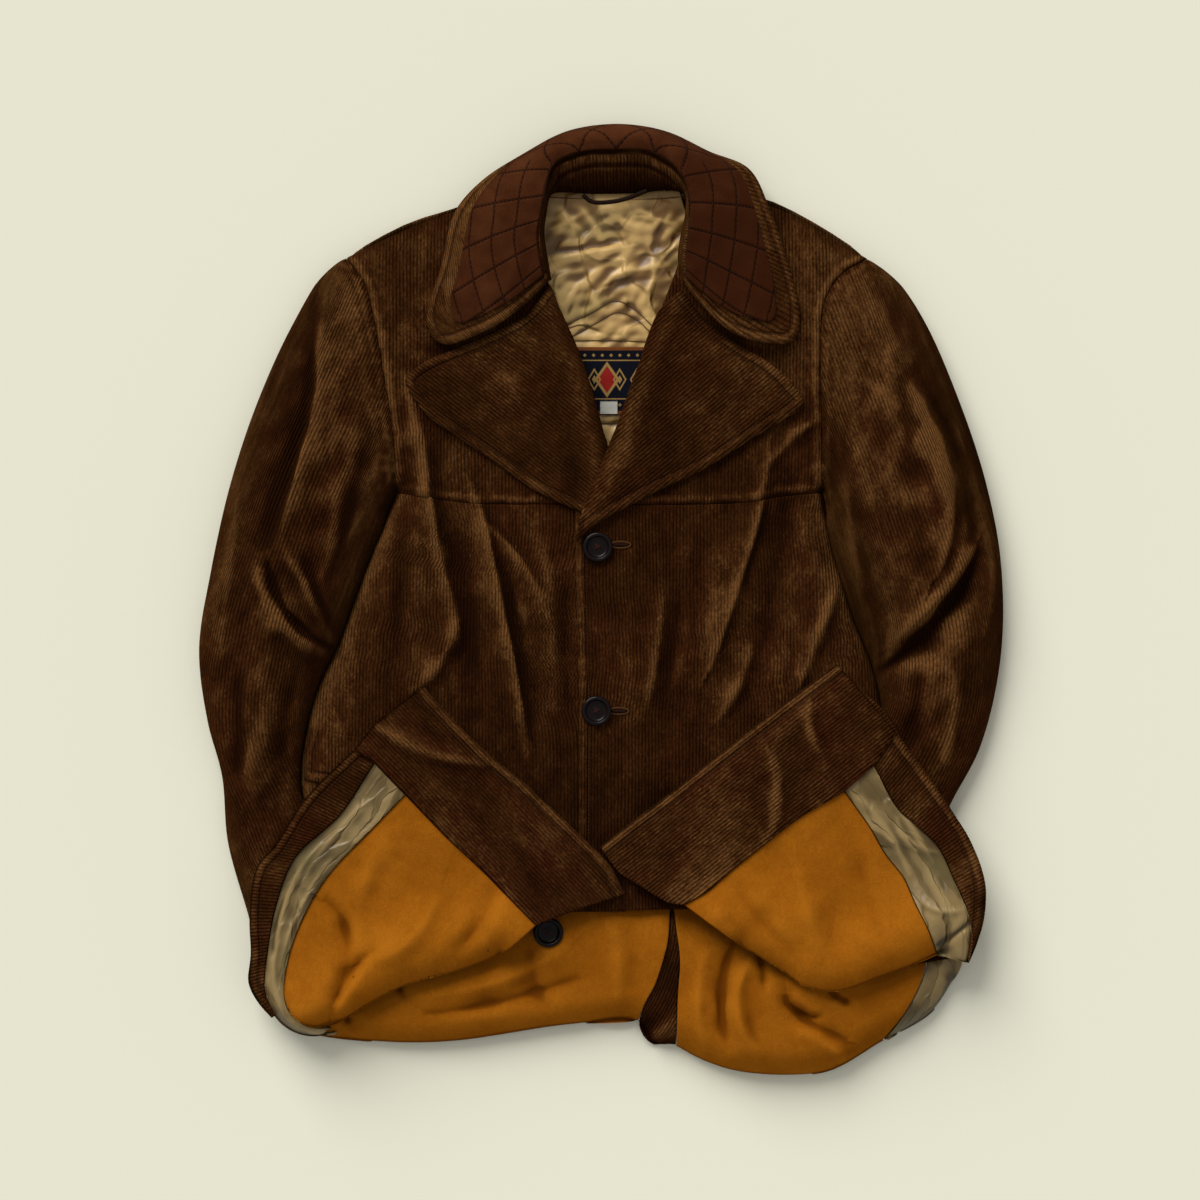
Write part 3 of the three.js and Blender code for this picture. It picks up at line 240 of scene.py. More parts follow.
def corduroy(name, pitch=0.0029, seed=0.0, worn=0.0, red=0.5):
    look, n, shader = material(name, Roughness=0.95, Specular_IOR_Level=0.0, Sheen_Weight=0.03, Sheen_Roughness=0.4,
                               Sheen_Tint=(0.7, 0.35, 0.06, 1))
    cloth = n.cloth()
    wales = n.use(walesTree, Cloth=cloth, Pitch=pitch)
    wearAndShade = n.use(wearAndShadeTree, Cloth=cloth, Crest=n.math("ADD", n.attribute("shadeAndWear"), worn), Seed=seed)
    row = n.use(stitchTree, Distance=n.attribute("edge"), Along=n.attribute("along"))
    base = n.mix(n.step(n.noise(n.stretched(cloth, 20, 9), 1.0, 2.0), 0.4, 0.65, 0.0, red), corduroyLook["base"], corduroyLook["red"])
    # Painted light and shade: crests and slopes facing the light turn towards the worn colour, hollows and the painted
    # shade bands towards the deep colour, together with real wear
    light = n.math("MULTIPLY_ADD", row["Edge"], 0.22, wearAndShade["Light"], clamp=True)
    colour = n.mix(light, base, corduroyLook["worn"])
    colour = n.mix(n.math("MULTIPLY", wearAndShade["Dark"], 0.72), colour, corduroyLook["deep"])
    colour = n.mix(n.math("MULTIPLY", wearAndShade["Fleck"], 0.5), colour, corduroyLook["worn"])
    colour = n.mix(n.step(wales["Nap"], 0.62, 0.4, 0.0, 0.45), colour, corduroyLook["deep"])
    colour = n.mix(n.math("MULTIPLY", wales["Groove"], 0.72), colour, corduroyLook["deep"])
    colour = n.mix(n.math("MULTIPLY", row["Furrow"], 0.55), colour, corduroyLook["deep"])
    colour = n.mix(n.math("MULTIPLY", row["Thread"], 0.7), colour, corduroyLook["thread"])
    n.put(shader["Base Color"], colour)
    height = n.math("MULTIPLY_ADD", wearAndShade["Light"], 0.4, wales["Height"])
    height = n.math("MULTIPLY_ADD", row["Furrow"], -1.3, height)
    n.put(shader["Normal"], n.add("ShaderNodeBump", {"Height": height, "Strength": 0.9, "Distance": corduroyLook["bump"]}).outputs[0])
    return look


woolLook = {"base": (0.25, 0.074, 0.0035, 1), "light": (0.35, 0.114, 0.0068, 1), "dark": (0.07, 0.016, 0.001, 1)}


def wool(name):
    look, n, shader = material(name, Roughness=0.95, Specular_IOR_Level=0.0, Sheen_Weight=0.08, Sheen_Roughness=0.6,
                               Sheen_Tint=(0.9, 0.4, 0.04, 1))
    cloth, shadeAndWear = n.cloth(), n.attribute("shadeAndWear")
    fuzz = n.noise(n.stretched(cloth, 1400, 900), 1.0, 3.0, 0.75)
    tuft = n.noise(n.stretched(cloth, 260, 180), 1.0, 4.0, 0.7, 1.0)
    broad = n.noise(n.stretched(cloth, 14, 14), 1.0, 4.0, 0.6, 0.6)
    shade = n.math("ADD", n.math("MULTIPLY", tuft, 0.6), n.math("MULTIPLY", broad, 0.7))
    # Painted light and shade: lighter on crests and slopes facing the light, towards the dark colour in hollows
    shade = n.math("MULTIPLY_ADD", shadeAndWear, 0.22, shade)
    colour = n.mix(n.step(shade, 0.4, 0.95), woolLook["base"], woolLook["light"])
    colour = n.mix(n.step(shadeAndWear, -0.4, -1.5, 0.0, 0.7), colour, woolLook["dark"])
    colour = n.mix(n.step(fuzz, 0.6, 0.35, 0.0, 0.3), colour, woolLook["dark"])
    speck = n.add("ShaderNodeTexVoronoi", {"Vector": cloth, "Scale": 22.0}, feature="F1").outputs["Distance"]
    colour = n.mix(n.step(speck, 0.03, 0.012, 0.0, 0.85), colour, woolLook["dark"])
    n.put(shader["Base Color"], colour)
    height = n.math("ADD", n.math("MULTIPLY", fuzz, 0.4), n.math("MULTIPLY", tuft, 0.6))
    n.put(shader["Normal"], n.add("ShaderNodeBump", {"Height": height, "Strength": 0.6, "Distance": 0.0012}).outputs[0])
    return look


# Satin: look has the colours, the rumples in a metre across and along, and how deep they are
def satin(name, look):
    made, n, shader = material(name, Roughness=look["rough"], Specular_IOR_Level=look["gloss"])
    cloth, shadeAndWear = n.cloth(), n.attribute("shadeAndWear")
    rumple = n.use(crumpleTree, Cloth=cloth, Across=look["rumples"][0], Along=look["rumples"][1])
    tint = n.noise(n.stretched(cloth, 30, 22), 1.0, 2.0, 0.5, 0.5)
    thread = n.noise(n.stretched(cloth, 3600, 500), 1.0, 1.0)
    # Painted light and shade: each crumpled facet has its own brightness, crests and slopes facing the light are
    # lighter, the thin creases and the hollows darker
    shade = n.math("MULTIPLY_ADD", shadeAndWear, 0.45, n.math("MULTIPLY_ADD", rumple["Facet"], 0.4, n.math("MULTIPLY", tint, 0.6)))
    colour = n.mix(n.step(shade, 0.2, 0.85), look["base"], look["light"])
    colour = n.mix(n.step(n.noise(n.stretched(cloth, 15, 15), 1.0, 1.0), 0.5, 0.68, 0.0, 0.5), colour, look["green"])
    colour = n.mix(n.math("MULTIPLY", rumple["Crease"], 0.06), colour, look["base"])
    colour = n.mix(n.step(shadeAndWear, -0.1, -0.8, 0.0, 0.6), colour, look["dark"])
    n.put(shader["Base Color"], colour)
    height = n.math("MULTIPLY_ADD", thread, 0.01, rumple["Height"])
    n.put(shader["Normal"], n.add("ShaderNodeBump", {"Height": height, "Strength": 1.0, "Distance": look["depth"]}).outputs[0])
    return made


suedeLook = {"base": (0.036, 0.0098, 0.0034, 1), "light": (0.066, 0.0205, 0.0072, 1), "dark": (0.018, 0.005, 0.002, 1),
             "thread": (0.004, 0.003, 0.003, 1), "grid": 0.024, "backHalf": 0.078, "tilt": 0.16}


# Suede with a stitched grid: straight on the collar's leaves, on the bias behind the neck
def suede(name):
    look, n, shader = material(name, Roughness=0.95, Specular_IOR_Level=0.0, Sheen_Weight=0.04, Sheen_Tint=(0.7, 0.4, 0.25, 1))
    cloth = n.cloth()
    s, q, _ = n.split(cloth)
    broad = n.noise(n.stretched(cloth, 26, 26), 1.0, 4.0, 0.65, 0.6)
    fine = n.noise(n.stretched(cloth, 700, 700), 1.0, 3.0, 0.7)
    away = n.math("ABSOLUTE", s)
    behind = n.math("LESS_THAN", away, suedeLook["backHalf"])
    leaf = (n.math("MULTIPLY", q, 1.2), n.math("MULTIPLY", n.math("MULTIPLY_ADD", q, suedeLook["tilt"], away), 0.84))
    bias = (n.math("MULTIPLY", n.math("ADD", s, q), 0.6), n.math("MULTIPLY", n.math("SUBTRACT", s, q), 0.6))
    furrow = thread = 0.0
    for k in (0, 1):
        a, b = (n.math("ADD", leaf[j], n.math("MULTIPLY", behind, n.math("SUBTRACT", bias[j], leaf[j]))) for j in (k, 1 - k))
        cell = n.math("ABSOLUTE", n.math("SUBTRACT", n.math("FRACT", n.math("DIVIDE", a, suedeLook["grid"])), 0.5))
        distance = n.math("MULTIPLY", n.math("SUBTRACT", 0.5, cell), suedeLook["grid"])
        line = n.use(stitchTree, Distance=distance, Along=b, Inset=0.0, Pitch=0.004, Width=0.0007)
        furrow = n.math("MAXIMUM", line["Furrow"], furrow)
        thread = n.math("MAXIMUM", line["Thread"], thread)
    # Painted light: lighter on crests and slopes facing the light
    colour = n.mix(n.step(n.math("MULTIPLY_ADD", n.attribute("shadeAndWear"), 0.2, broad), 0.25, 0.8), suedeLook["base"], suedeLook["light"])
    colour = n.mix(n.step(fine, 0.6, 0.35, 0.0, 0.35), colour, suedeLook["dark"])
    colour = n.mix(n.math("MULTIPLY", furrow, 0.3), colour, suedeLook["dark"])
    colour = n.mix(thread, colour, suedeLook["thread"])
    n.put(shader["Base Color"], colour)
    height = n.math("MULTIPLY_ADD", furrow, -1.2, n.math("ADD", n.math("MULTIPLY", fine, 0.25), broad))
    n.put(shader["Normal"], n.add("ShaderNodeBump", {"Height": height, "Strength": 0.7, "Distance": 0.001}).outputs[0])
    return look


goldLook = {"base": (0.17, 0.082, 0.018, 1), "light": (0.6, 0.38, 0.13, 1), "green": (0.24, 0.19, 0.062, 1),
            "dark": (0.07, 0.03, 0.006, 1), "rumples": (36, 30), "depth": 0.0042, "rough": 0.38, "gloss": 0.4}
sageLook = {"base": (0.085, 0.052, 0.013, 1), "light": (0.26, 0.175, 0.066, 1), "green": (0.11, 0.092, 0.03, 1),
            "dark": (0.03, 0.018, 0.005, 1), "rumples": (105, 24), "depth": 0.0024, "rough": 0.36, "gloss": 0.35}
brown = corduroy("corduroy_brown")
brownSleeve = corduroy("corduroy_sleeve", pitch=0.0031, seed=3.1, worn=0.1)
brownLapel = corduroy("corduroy_lapel", seed=5.7, red=0.3)
brownInside = corduroy("corduroy_facing", seed=8.3, red=0.8)
orange = wool("wool_lining")
gold = satin("neck_satin", goldLook)
sage = satin("satin_band", sageLook)
suedeBrown = suede("suede_inlay")
print("materials made")


# Centripetal curve through the points, sampled evenly by length, or at the given shares of it
def curve(points, count=None, at=None):
    p = np.array(points, float)
    if len(p) == 2:
        dense = p[0] + (p[1] - p[0]) * np.linspace(0, 1, 40)[:, None]
    else:
        p = np.vstack([2 * p[0] - p[1], p, 2 * p[-1] - p[-2]])
        rows = []
        for a, b, c, d in zip(p, p[1:], p[2:], p[3:]):
            knots = np.cumsum([0] + [max(np.linalg.norm(e - f), 1e-6) ** 0.5 for e, f in ((b, a), (c, b), (d, c))])
            t = np.linspace(knots[1], knots[2], 16, endpoint=False)[:, None]

            def blend(one, two, low, high):
                return ((knots[high] - t) * one + (t - knots[low]) * two) / (knots[high] - knots[low])

            first, second, third = blend(a, b, 0, 1), blend(b, c, 1, 2), blend(c, d, 2, 3)
            rows.append(blend(blend(first, second, 0, 2), blend(second, third, 1, 3), 1, 2))
        dense = np.vstack(rows + [p[-2][None]])
    length = np.concatenate([[0], np.cumsum(np.linalg.norm(np.diff(dense, axis=0), axis=1))])
    shares = np.linspace(0, 1, count + 1) if at is None else np.asarray(at)
    return np.stack([np.interp(shares * length[-1], length, dense[:, k]) for k in range(dense.shape[1])], 1)


# Even shares from 0 to 1 with two more close to each end, where the cloth turns over its edge
def edged(count, rim=0.4):
    even = np.linspace(0, 1, count + 1)
    extra = np.array([rim * 0.35, rim]) / count
    return np.unique(np.concatenate([even, extra, 1 - extra]))


# Plan grid inside four borders
def patch(left, right, top, bottom, rows, columns):
    v, u = edged(rows), edged(columns)
    l, r = curve(left, at=v)[:, None], curve(right, at=v)[:, None]
    t, b = curve(top, at=u)[None], curve(bottom, at=u)[None]
    u, v = u[None, :, None], v[:, None, None]
    corners = (t[:, :1] * (1 - u) + t[:, -1:] * u) * (1 - v) + (b[:, :1] * (1 - u) + b[:, -1:] * u) * v
    return l * (1 - u) + r * u + t * (1 - v) + b * v - corners


# Rounds one corner of a grid off. row and column are 0 or -1.
def roundCorner(grid, row, column, radius):
    turned = grid[:: -1 if row else 1, :: -1 if column else 1]
    a = np.vstack([turned[:1, :, 0] * 0, np.cumsum(np.linalg.norm(np.diff(turned, axis=0), axis=-1), 0)])
    b = np.hstack([turned[:, :1, 0] * 0, np.cumsum(np.linalg.norm(np.diff(turned, axis=1), axis=-1), 1)])
    k = np.unravel_index((np.maximum(abs(a - radius), abs(b - radius))).argmin(), a.shape)
    centre = turned[k]
    da, db = np.clip(1 - a / radius, 0, 1), np.clip(1 - b / radius, 0, 1)
    share = np.where((da > 0) & (db > 0), np.maximum(da, db) / np.maximum(np.hypot(da, db), 1e-9), 1.0)
    turned[:] = centre + (turned - centre) * share[..., None]
    return grid


# Distance in plan to a polyline, how far along it the place is, and which side it is on
def nearest(samples, x, y):
    a, b = samples[:-1], samples[1:]
    d = b - a
    px, py = x.reshape(-1, 1) - a[:, 0], y.reshape(-1, 1) - a[:, 1]
    t = np.clip((px * d[:, 0] + py * d[:, 1]) / np.maximum((d**2).sum(1), 1e-9), 0, 1)
    qx, qy = px - t * d[:, 0], py - t * d[:, 1]
    far = np.hypot(qx, qy)
    k = far.argmin(1)
    r = np.arange(len(k))
    side = np.sign(d[k, 0] * qy[r, k] - d[k, 1] * qx[r, k])
    along = (k + t[r, k]) / len(a)
    return far[r, k].reshape(x.shape), along.reshape(x.shape), side.reshape(x.shape)


def smooth(value, low, high):
    s = np.clip((value - low) / (high - low), 0, 1)
    return s * s * (3 - 2 * s)


def roundOff(distance, width):
    s = np.clip(distance / width, 0, 1)
    return np.sqrt(1 - (1 - s) ** 2)


# Smooth uneven waves between about -1 and 1, the same on each run
def ripple(x, y, size, seed):
    draw = np.random.default_rng(seed)
    total = np.zeros_like(x)
    for _ in range(7):
        turn, phase, scale = draw.uniform(0, math.pi), draw.uniform(0, 2 * math.pi), draw.uniform(0.6, 1.6)
        total = total + np.sin((x * math.cos(turn) + y * math.sin(turn)) * scale * 2 * math.pi / size + phase)
    return total / 3.5


# Sum of soft, uneven ridges and troughs, and how far they lean over. A row has the start, middle and end in plan,
# the widths on the fold's +X side and on its -X side as it runs down, the rise, and the softness of its crest
# (2 round, 1 sharp). A ridge leans over to its steeper side.
def foldHeight(rows, x, y, seed=1):
    total, lean = np.zeros_like(x), np.zeros_like(x)
    for k, (x1, y1, xb, yb, x2, y2, left, right, rise, soft) in enumerate(rows):
        t = np.linspace(0, 1, 24)[:, None]
        a, c = np.array([x1, y1]), np.array([x2, y2])
        b = 2 * np.array([xb, yb]) - (a + c) / 2
        samples = (1 - t) ** 2 * a + 2 * t * (1 - t) * b + t**2 * c
        far, along, side = nearest(samples, x, y)
        width = np.where(side > 0, left, right) * (1 + 0.22 * ripple(x, y, 46, seed + k))
        fade = np.sin(math.pi * (0.08 + 0.84 * along)) ** 0.8 * (1 + 0.18 * np.sin(along * 11 + k))
        height = rise * np.exp(-((np.hypot(far, 0.7) / width) ** soft)) * fade
        total = total + height
        lean = lean + np.maximum(height, 0) * (right - left) / (right + left) * foldLean
    return total, lean


foldLean = 0.75


# Lighter and darker places painted on the pile, worn places and painted shade: x, y, direction in degrees from +Y
# towards +X, length, width, amount
def patches(rows, x, y):
    total = np.zeros_like(x)
    for px, py, turn, length, width, amount in rows:
        turn = math.radians(turn)
        along = ((x - px) * math.sin(turn) + (y - py) * math.cos(turn)) / length
        over = ((x - px) * math.cos(turn) - (y - py) * math.sin(turn)) / width
        total = total + amount * np.exp(-(along**2) - over**2)
    return total


# Painted light: a slope that faces up and to the left, the way the light comes, is painted lighter, and one that faces
# away darker
paintedLightFrom = np.array([-0.6, 0.8, 0.0])


def gridNormals(grid):
    n = np.cross(np.gradient(grid, axis=1), np.gradient(grid, axis=0))
    return n / np.maximum(np.linalg.norm(n, axis=-1, keepdims=True), 1e-9)


# How far each point stands above its surroundings, in millimetres
def relief(grid, rounds=60):
    z = grid[..., 2]
    blurred = z.copy()
    for _ in range(rounds):
        p = np.pad(blurred, 1, mode="edge")
        blurred = (p[:-2, 1:-1] + p[2:, 1:-1] + p[1:-1, :-2] + p[1:-1, 2:]) / 4
    return z - blurred


# Lays a grid out flat: U runs across wales that lie at angle degrees from +Y, V runs along them
def clothMap(grid, angle):
    turn = math.radians(angle)
    across, along = np.array([math.cos(turn), -math.sin(turn)]), np.array([math.sin(turn), math.cos(turn)])
    middle = grid.shape[1] // 2

    def parts(step):
        grown = np.linalg.norm(step, axis=-1) / np.maximum(np.linalg.norm(step[..., :2], axis=-1), 1e-6)
        return np.stack([step[..., :2] @ across, step[..., :2] @ along], -1) * np.minimum(grown, 4)[..., None]

    spine = np.zeros((grid.shape[0], 2))
    spine[0] = grid[0, middle, :2] @ np.stack([across, along], 1)
    spine[1:] = spine[0] + np.cumsum(parts(np.diff(grid[:, middle], axis=0)), 0)
    steps = parts(np.diff(grid, axis=1))
    laid = np.zeros((*grid.shape[:2], 2))
    laid[:, middle] = spine
    laid[:, middle + 1 :] = spine[:, None] + np.cumsum(steps[:, middle:], 1)
    laid[:, :middle] = spine[:, None] - np.cumsum(steps[:, :middle][:, ::-1], 1)[:, ::-1]
    return laid


# Lays a strip out flat along its own length. alongRows says that V runs down the rows.
def stripMap(grid, alongRows):
    down = np.cumsum(np.linalg.norm(np.diff(grid, axis=0), axis=-1), 0)
    down = np.vstack([np.zeros((1, grid.shape[1])), down])
    over = np.cumsum(np.linalg.norm(np.diff(grid, axis=1), axis=-1), 1)
    over = np.hstack([np.zeros((grid.shape[0], 1)), over])
    middle = grid.shape[1] // 2
    down = down[:, middle : middle + 1] + 0 * over
    return np.dstack([over, down] if alongRows else [down, over])


def inset(plan, amount=0.15):
    moved = plan.copy()
    every = slice(None)
    for border, inner in (((every, 0), (every, 1)), ((every, -1), (every, -2)), (0, 1), (-1, -2)):
        step = plan[inner] - plan[border]
        moved[border] += step / np.maximum(np.linalg.norm(step, axis=-1, keepdims=True), 1e-6) * amount
    return moved


def lift(plan, height):
    return np.dstack([plan, height])


# Distance to the nearest sewn border and the way along it
def sewn(x, y, *borders):
    best = np.full(x.shape, 1e9)
    along = np.zeros(x.shape)
    for points in borders:
        samples = curve(points, 60)
        length = np.linalg.norm(np.diff(samples, axis=0), axis=1).sum()
        far, share, _ = nearest(samples, x, y)
        along = np.where(far < best, share * length, along)
        best = np.minimum(far, best)
    return {"edge": best, "along": along}


# Height of the soft roll between a sewn edge and its row of stitches
def edgeRoll(edge, rise=0.8):
    return rise * np.exp(-(((edge - 4.5) / 3.0) ** 2))


def finishMesh(name, mesh, look):
    mesh.materials.append(look)
    mesh.polygons.foreach_set("use_smooth", [True] * len(mesh.polygons))
    obj = bpy.data.objects.new(name, mesh)
    bpy.context.scene.collection.objects.link(obj)
    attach(obj, "root")
    return obj


# Closed cloth of even thickness under a grid of millimetre points, with rounded edges, in place of a solid
def sheet(node, grid, thickness, cloth, look, slotName, held="laid", restsOn=("back",), down=True, **extra):
    rows, columns = grid.shape[:2]
    out = gridNormals(grid)
    if (out[..., 2].mean() < 0) == down:
        out = -out
    fade = np.zeros((rows, columns))
    for k, amount in ((2, 0.04), (1, 0.2), (0, 0.5)):
        for line in ((k,), (rows - 1 - k,), (slice(None), k), (slice(None), columns - 1 - k)):
            fade[line] = np.maximum(fade[line], amount)
    top = grid - out * (fade * thickness)[..., None]
    base = grid - out * (thickness * (1 - 0.8 * fade))[..., None]
    base = base[::2, ::2]
    points = np.vstack([top.reshape(-1, 3), base.reshape(-1, 3)]) * mm
    index = np.arange(rows * columns).reshape(rows, columns)
    lower = rows * columns + np.arange(base.shape[0] * base.shape[1]).reshape(base.shape[:2])
    quads, under = (np.stack([k[:-1, :-1], k[:-1, 1:], k[1:, 1:], k[1:, :-1]], -1).reshape(-1, 4) for k in (index, lower))
    loop, lowerLoop = (np.concatenate([k[0, :-1], k[:-1, -1], k[-1, :0:-1], k[:0:-1, 0]]) for k in (index, lower))
    rim = np.stack([loop[::2], lowerLoop, np.roll(lowerLoop, -1), np.roll(loop, -2)[::2], loop[1::2]], -1)
    faces = quads.tolist() + under[:, ::-1].tolist() + rim.tolist()
    a, b, c = (points[quads[:, k]] for k in (0, 1, 2))
    if (np.cross(b - a, c - a) * out[:-1, :-1].reshape(-1, 3)).sum() < 0:
        faces = [face[::-1] for face in faces]
    mesh = bpy.data.meshes.new(node + "_cloth")
    mesh.from_pydata(points.tolist(), [], faces)
    corner = np.empty(len(mesh.loops), int)
    mesh.loops.foreach_get("vertex_index", corner)
    laid = np.vstack([cloth.reshape(-1, 2), cloth[::2, ::2].reshape(-1, 2)]) * mm
    mesh.uv_layers.new(name="cloth").data.foreach_set("uv", laid[corner].ravel().astype(np.float32))
    # Painted light and shade for the materials: crests and slopes facing the light lighter, hollows darker, plus the
    # worn places and painted shade passed in
    shadeAndWear = 0.26 * relief(grid) + 0.9 * np.clip(relief(grid, 8), -0.5, 0.5)
    shadeAndWear = shadeAndWear + 0.55 * np.clip(out @ paintedLightFrom, -0.8, 0.8) * down + extra.get("nap", 0.0)
    measures = {"shadeAndWear": np.clip(shadeAndWear, -1.6, 1.6), "edge": extra.get("edge", 1e3) * mm, "along": extra.get("along", 0.0) * mm}
    for label, values in measures.items():
        values = np.broadcast_to(values, (rows, columns))
        layer = mesh.attributes.new(label, "FLOAT", "POINT")
        layer.data.foreach_set("value", np.concatenate([values.ravel(), values[::2, ::2].ravel()]).astype(np.float32))
    obj = finishMesh(node + "_cloth", mesh, look)
    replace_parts(obj, node)
    down, over = np.diff(grid, axis=0), np.diff(grid, axis=1)
    width = np.linalg.norm(over, axis=-1).sum(1).max() * mm
    length = np.linalg.norm(down, axis=-1).sum(0).max() * mm
    area = np.linalg.norm(np.cross(down[:, :-1], over[:-1]), axis=-1).sum() * mm * mm
    area = float(np.clip(area, 0.31 * width * length, 0.99 * width * length))
    print("  %-22s %.3f x %.3f m, %.4f m2" % (node, width, length, area))
    return obj


# Closed round thread or cord through millimetre points
def tube(name, points, radius, look, closed=False, sides=8, count=60):
    line = curve(points, count)
    line = line[:-1] if closed else line
    ahead = np.roll(line, -1, 0) - np.roll(line, 1, 0)
    if not closed:
        ahead[0], ahead[-1] = line[1] - line[0], line[-1] - line[-2]
    ahead /= np.linalg.norm(ahead, axis=1, keepdims=True)
    sideways = np.cross(ahead, [0.0, 0.0, 1.0])
    sideways /= np.maximum(np.linalg.norm(sideways, axis=1, keepdims=True), 1e-6)
    above = np.cross(sideways, ahead)
    turn = np.linspace(0, 2 * math.pi, sides, endpoint=False)[None, :, None]
    ring = line[:, None] + radius * (np.cos(turn) * sideways[:, None] + np.sin(turn) * above[:, None])
    index = np.arange(len(line) * sides).reshape(-1, sides)
    ahead = np.roll(index, -1, 0) if closed else index[1:]
    here = index if closed else index[:-1]
    faces = np.stack([here, np.roll(here, -1, 1), np.roll(ahead, -1, 1), ahead], -1).reshape(-1, 4).tolist()
    if not closed:
        faces += [index[0, ::-1].tolist(), index[-1].tolist()]
    mesh = bpy.data.meshes.new(name)
    mesh.from_pydata((ring.reshape(-1, 3) * mm).tolist(), [], faces)
    return finishMesh(name, mesh, look)

# Plan curves of the body and sleeves. Right is the wearer's right, at -X.
armholeRight = [(-217, 292), (-202, 271), (-192, 235), (-184, 189), (-177, 145), (-174, 92)]
armholeLeft = [(229, 291), (206, 277), (192, 254), (188, 205), (189, 150), (190, 92)]
innerRight = [(-174, 92), (-196, 45), (-212, 3), (-228, -40), (-245, -76), (-258, -135), (-256, -172), (-225, -215)]
innerRight += [(-184, -252), (-172, -282)]
innerLeft = [(190, 92), (203, 37), (219, -14), (236, -58), (243, -94), (236, -130), (205, -170), (170, -208), (150, -240)]
outerRight = [(-217, 292), (-232, 284), (-262, 236), (-291, 172), (-315, 100), (-332, 24), (-342, -42), (-335, -103)]
outerRight += [(-323, -150), (-318, -207), (-301, -268), (-297, -284)]
outerLeft = [(229, 291), (250, 277), (277, 238), (309, 163), (330, 97), (342, 32), (342, -50), (325, -125)]
outerLeft += [(298, -178), (282, -225), (262, -284)]
shoulderLine = [(-217, 292), (-170, 318), (-118, 337), (-78, 346), (-40, 343), (14, 341), (66, 343), (100, 348)]
shoulderLine += [(142, 341), (188, 318), (229, 291)]

# Height of the fronts above the floor, as in the solids
body = {"chest": 25.0, "shoulder": 15.0, "sideSeam": 8.0, "roll": 34.0, "lap": 3.4, "cloth": 2.5, "gap": 0.3, "over": 0.8}
bodyShare = 13 / 16  # part of the sleeve's inner edge that the body follows
sideCurves = [curve(innerRight, at=np.linspace(1 / 16, bodyShare, 26)), curve(innerLeft, at=np.linspace(1 / 16, bodyShare, 26))]
sideCurves = [np.vstack([curve(c, 1)[:1], s]) for c, s in zip((innerRight, innerLeft), sideCurves)]
shoulderSamples = curve(shoulderLine, 60)

# Height of the fronts above the floor, in millimetres
body = {"chest": 25.0, "shoulder": 15.0, "sideSeam": 8.0, "roll": 34.0, "lap": 3.4, "cloth": 2.5, "gap": 0.3, "over": 0.8,
        "tuck": 2.6, "dip": 3.6}

# Folds: start, middle and end in plan, width on the +X side, width on the -X side, rise, softness
bodyFolds = [
    (-105, 86, -84, -12, -57, -157, 3.2, 15, 9.5, 1.25),
    (-96, 62, -74, 40, -50, 2, 3, 9, 5.5, 1.3),
    (-83, 24, -74, -8, -66, -60, 6, 8, -5, 1.8),
    (-150, 136, -143, 66, -122, -18, 3.6, 13, 7.5, 1.3),
    (-164, 186, -154, 130, -145, 84, 5, 11, 4.5, 1.5),
    (-122, -14, -131, -44, -154, -74, 6, 11, 6, 1.5),
    (-126, 60, -114, 0, -106, -92, 12, 13, -6, 2),
    (-168, 60, -170, 10, -176, -40, 9, 9, -3, 2),
    (-50, 60, -44, 0, -40, -90, 9, 15, 3, 1.7),
    (-30, 40, -30, -20, -28, -110, 7, 8, -2.5, 2),
    (144, 124, 126, 44, 92, -60, 3.6, 13, 7.0, 1.3),
    (160, 104, 152, 30, 132, -56, 13, 12, -5.5, 2),
    (54, 10, 48, -41, 40, -90, 5, 11, 5, 1.5),
    (68, 0, 62, -40, 56, -86, 6, 8, -3, 2),
    (128, -46, 116, -75, 100, -102, 5, 9, 5.5, 1.5),
    (206, 20, 190, -18, 168, -76, 5, 9, 6.5, 1.5),
    (188, 152, 166, 140, 144, 114, 4, 6, 3.5, 1.7),
    (90, 64, 82, 6, 76, -70, 13, 12, -2.5, 2),
    (24, 50, 28, -10, 24, -90, 10, 12, 1.6, 2),
    (-150, 250, -120, 268, -84, 300, 9, 9, 2.2, 2),
    (100, 300, 130, 270, 150, 226, 10, 9, 2.4, 2),
    (186, 96, 168, 92, 150, 94, 4, 5, 2, 1.6),
]

# Lighter worn places of the pile, and painted shade: the dark bands beside the sleeve creases, under the collar leaves
# and at the foot of the fronts
napPlaces = [
    (232, 217, 4, 62, 17, 0.7), (297, 107, -20, 42, 13, 0.6), (314, 36, -12, 22, 11, 0.7), (298, 160, -30, 110, 12, -0.9),
    (212, 60, 12, 60, 14, 0.4), (-224, 190, 12, 90, 13, 0.5), (-262, 130, 14, 110, 15, -0.8), (-298, 60, 12, 80, 13, 0.45),
    (-318, -60, -4, 70, 12, 0.3), (150, 235, 0, 60, 50, 0.6), (-120, 270, 20, 60, 40, 0.15), (-130, 215, 0, 40, 40, -0.25),
    (-60, -170, 60, 90, 40, -0.45), (90, -190, -60, 90, 40, -0.45), (50, 110, -40, 60, 30, -0.2), (0, -60, 0, 120, 30, -0.15),
    (-176, -20, 0, 90, 12, -0.5), (222, -20, -8, 90, 12, -0.5), (270, -60, -10, 40, 18, 0.3), (262, -110, -20, 40, 16, -0.4),
    (-190, 200, -4, 60, 26, 0.35), (-165, 150, 0, 60, 16, 0.35), (-285, 60, 20, 90, 26, -0.75), (-300, -100, 0, 90, 30, -0.35),
    (268, 190, -24, 70, 24, 0.8), (111, 222, 120, 30, 6, -1.4), (-140, 213, 96, 16, 4, -1.2), (-108, 300, 10, 40, 22, 0.3),
    (180, 230, 0, 50, 18, 0.3), (-20, -215, 90, 60, 30, -0.5), (40, -235, 90, 50, 22, -0.6),
]

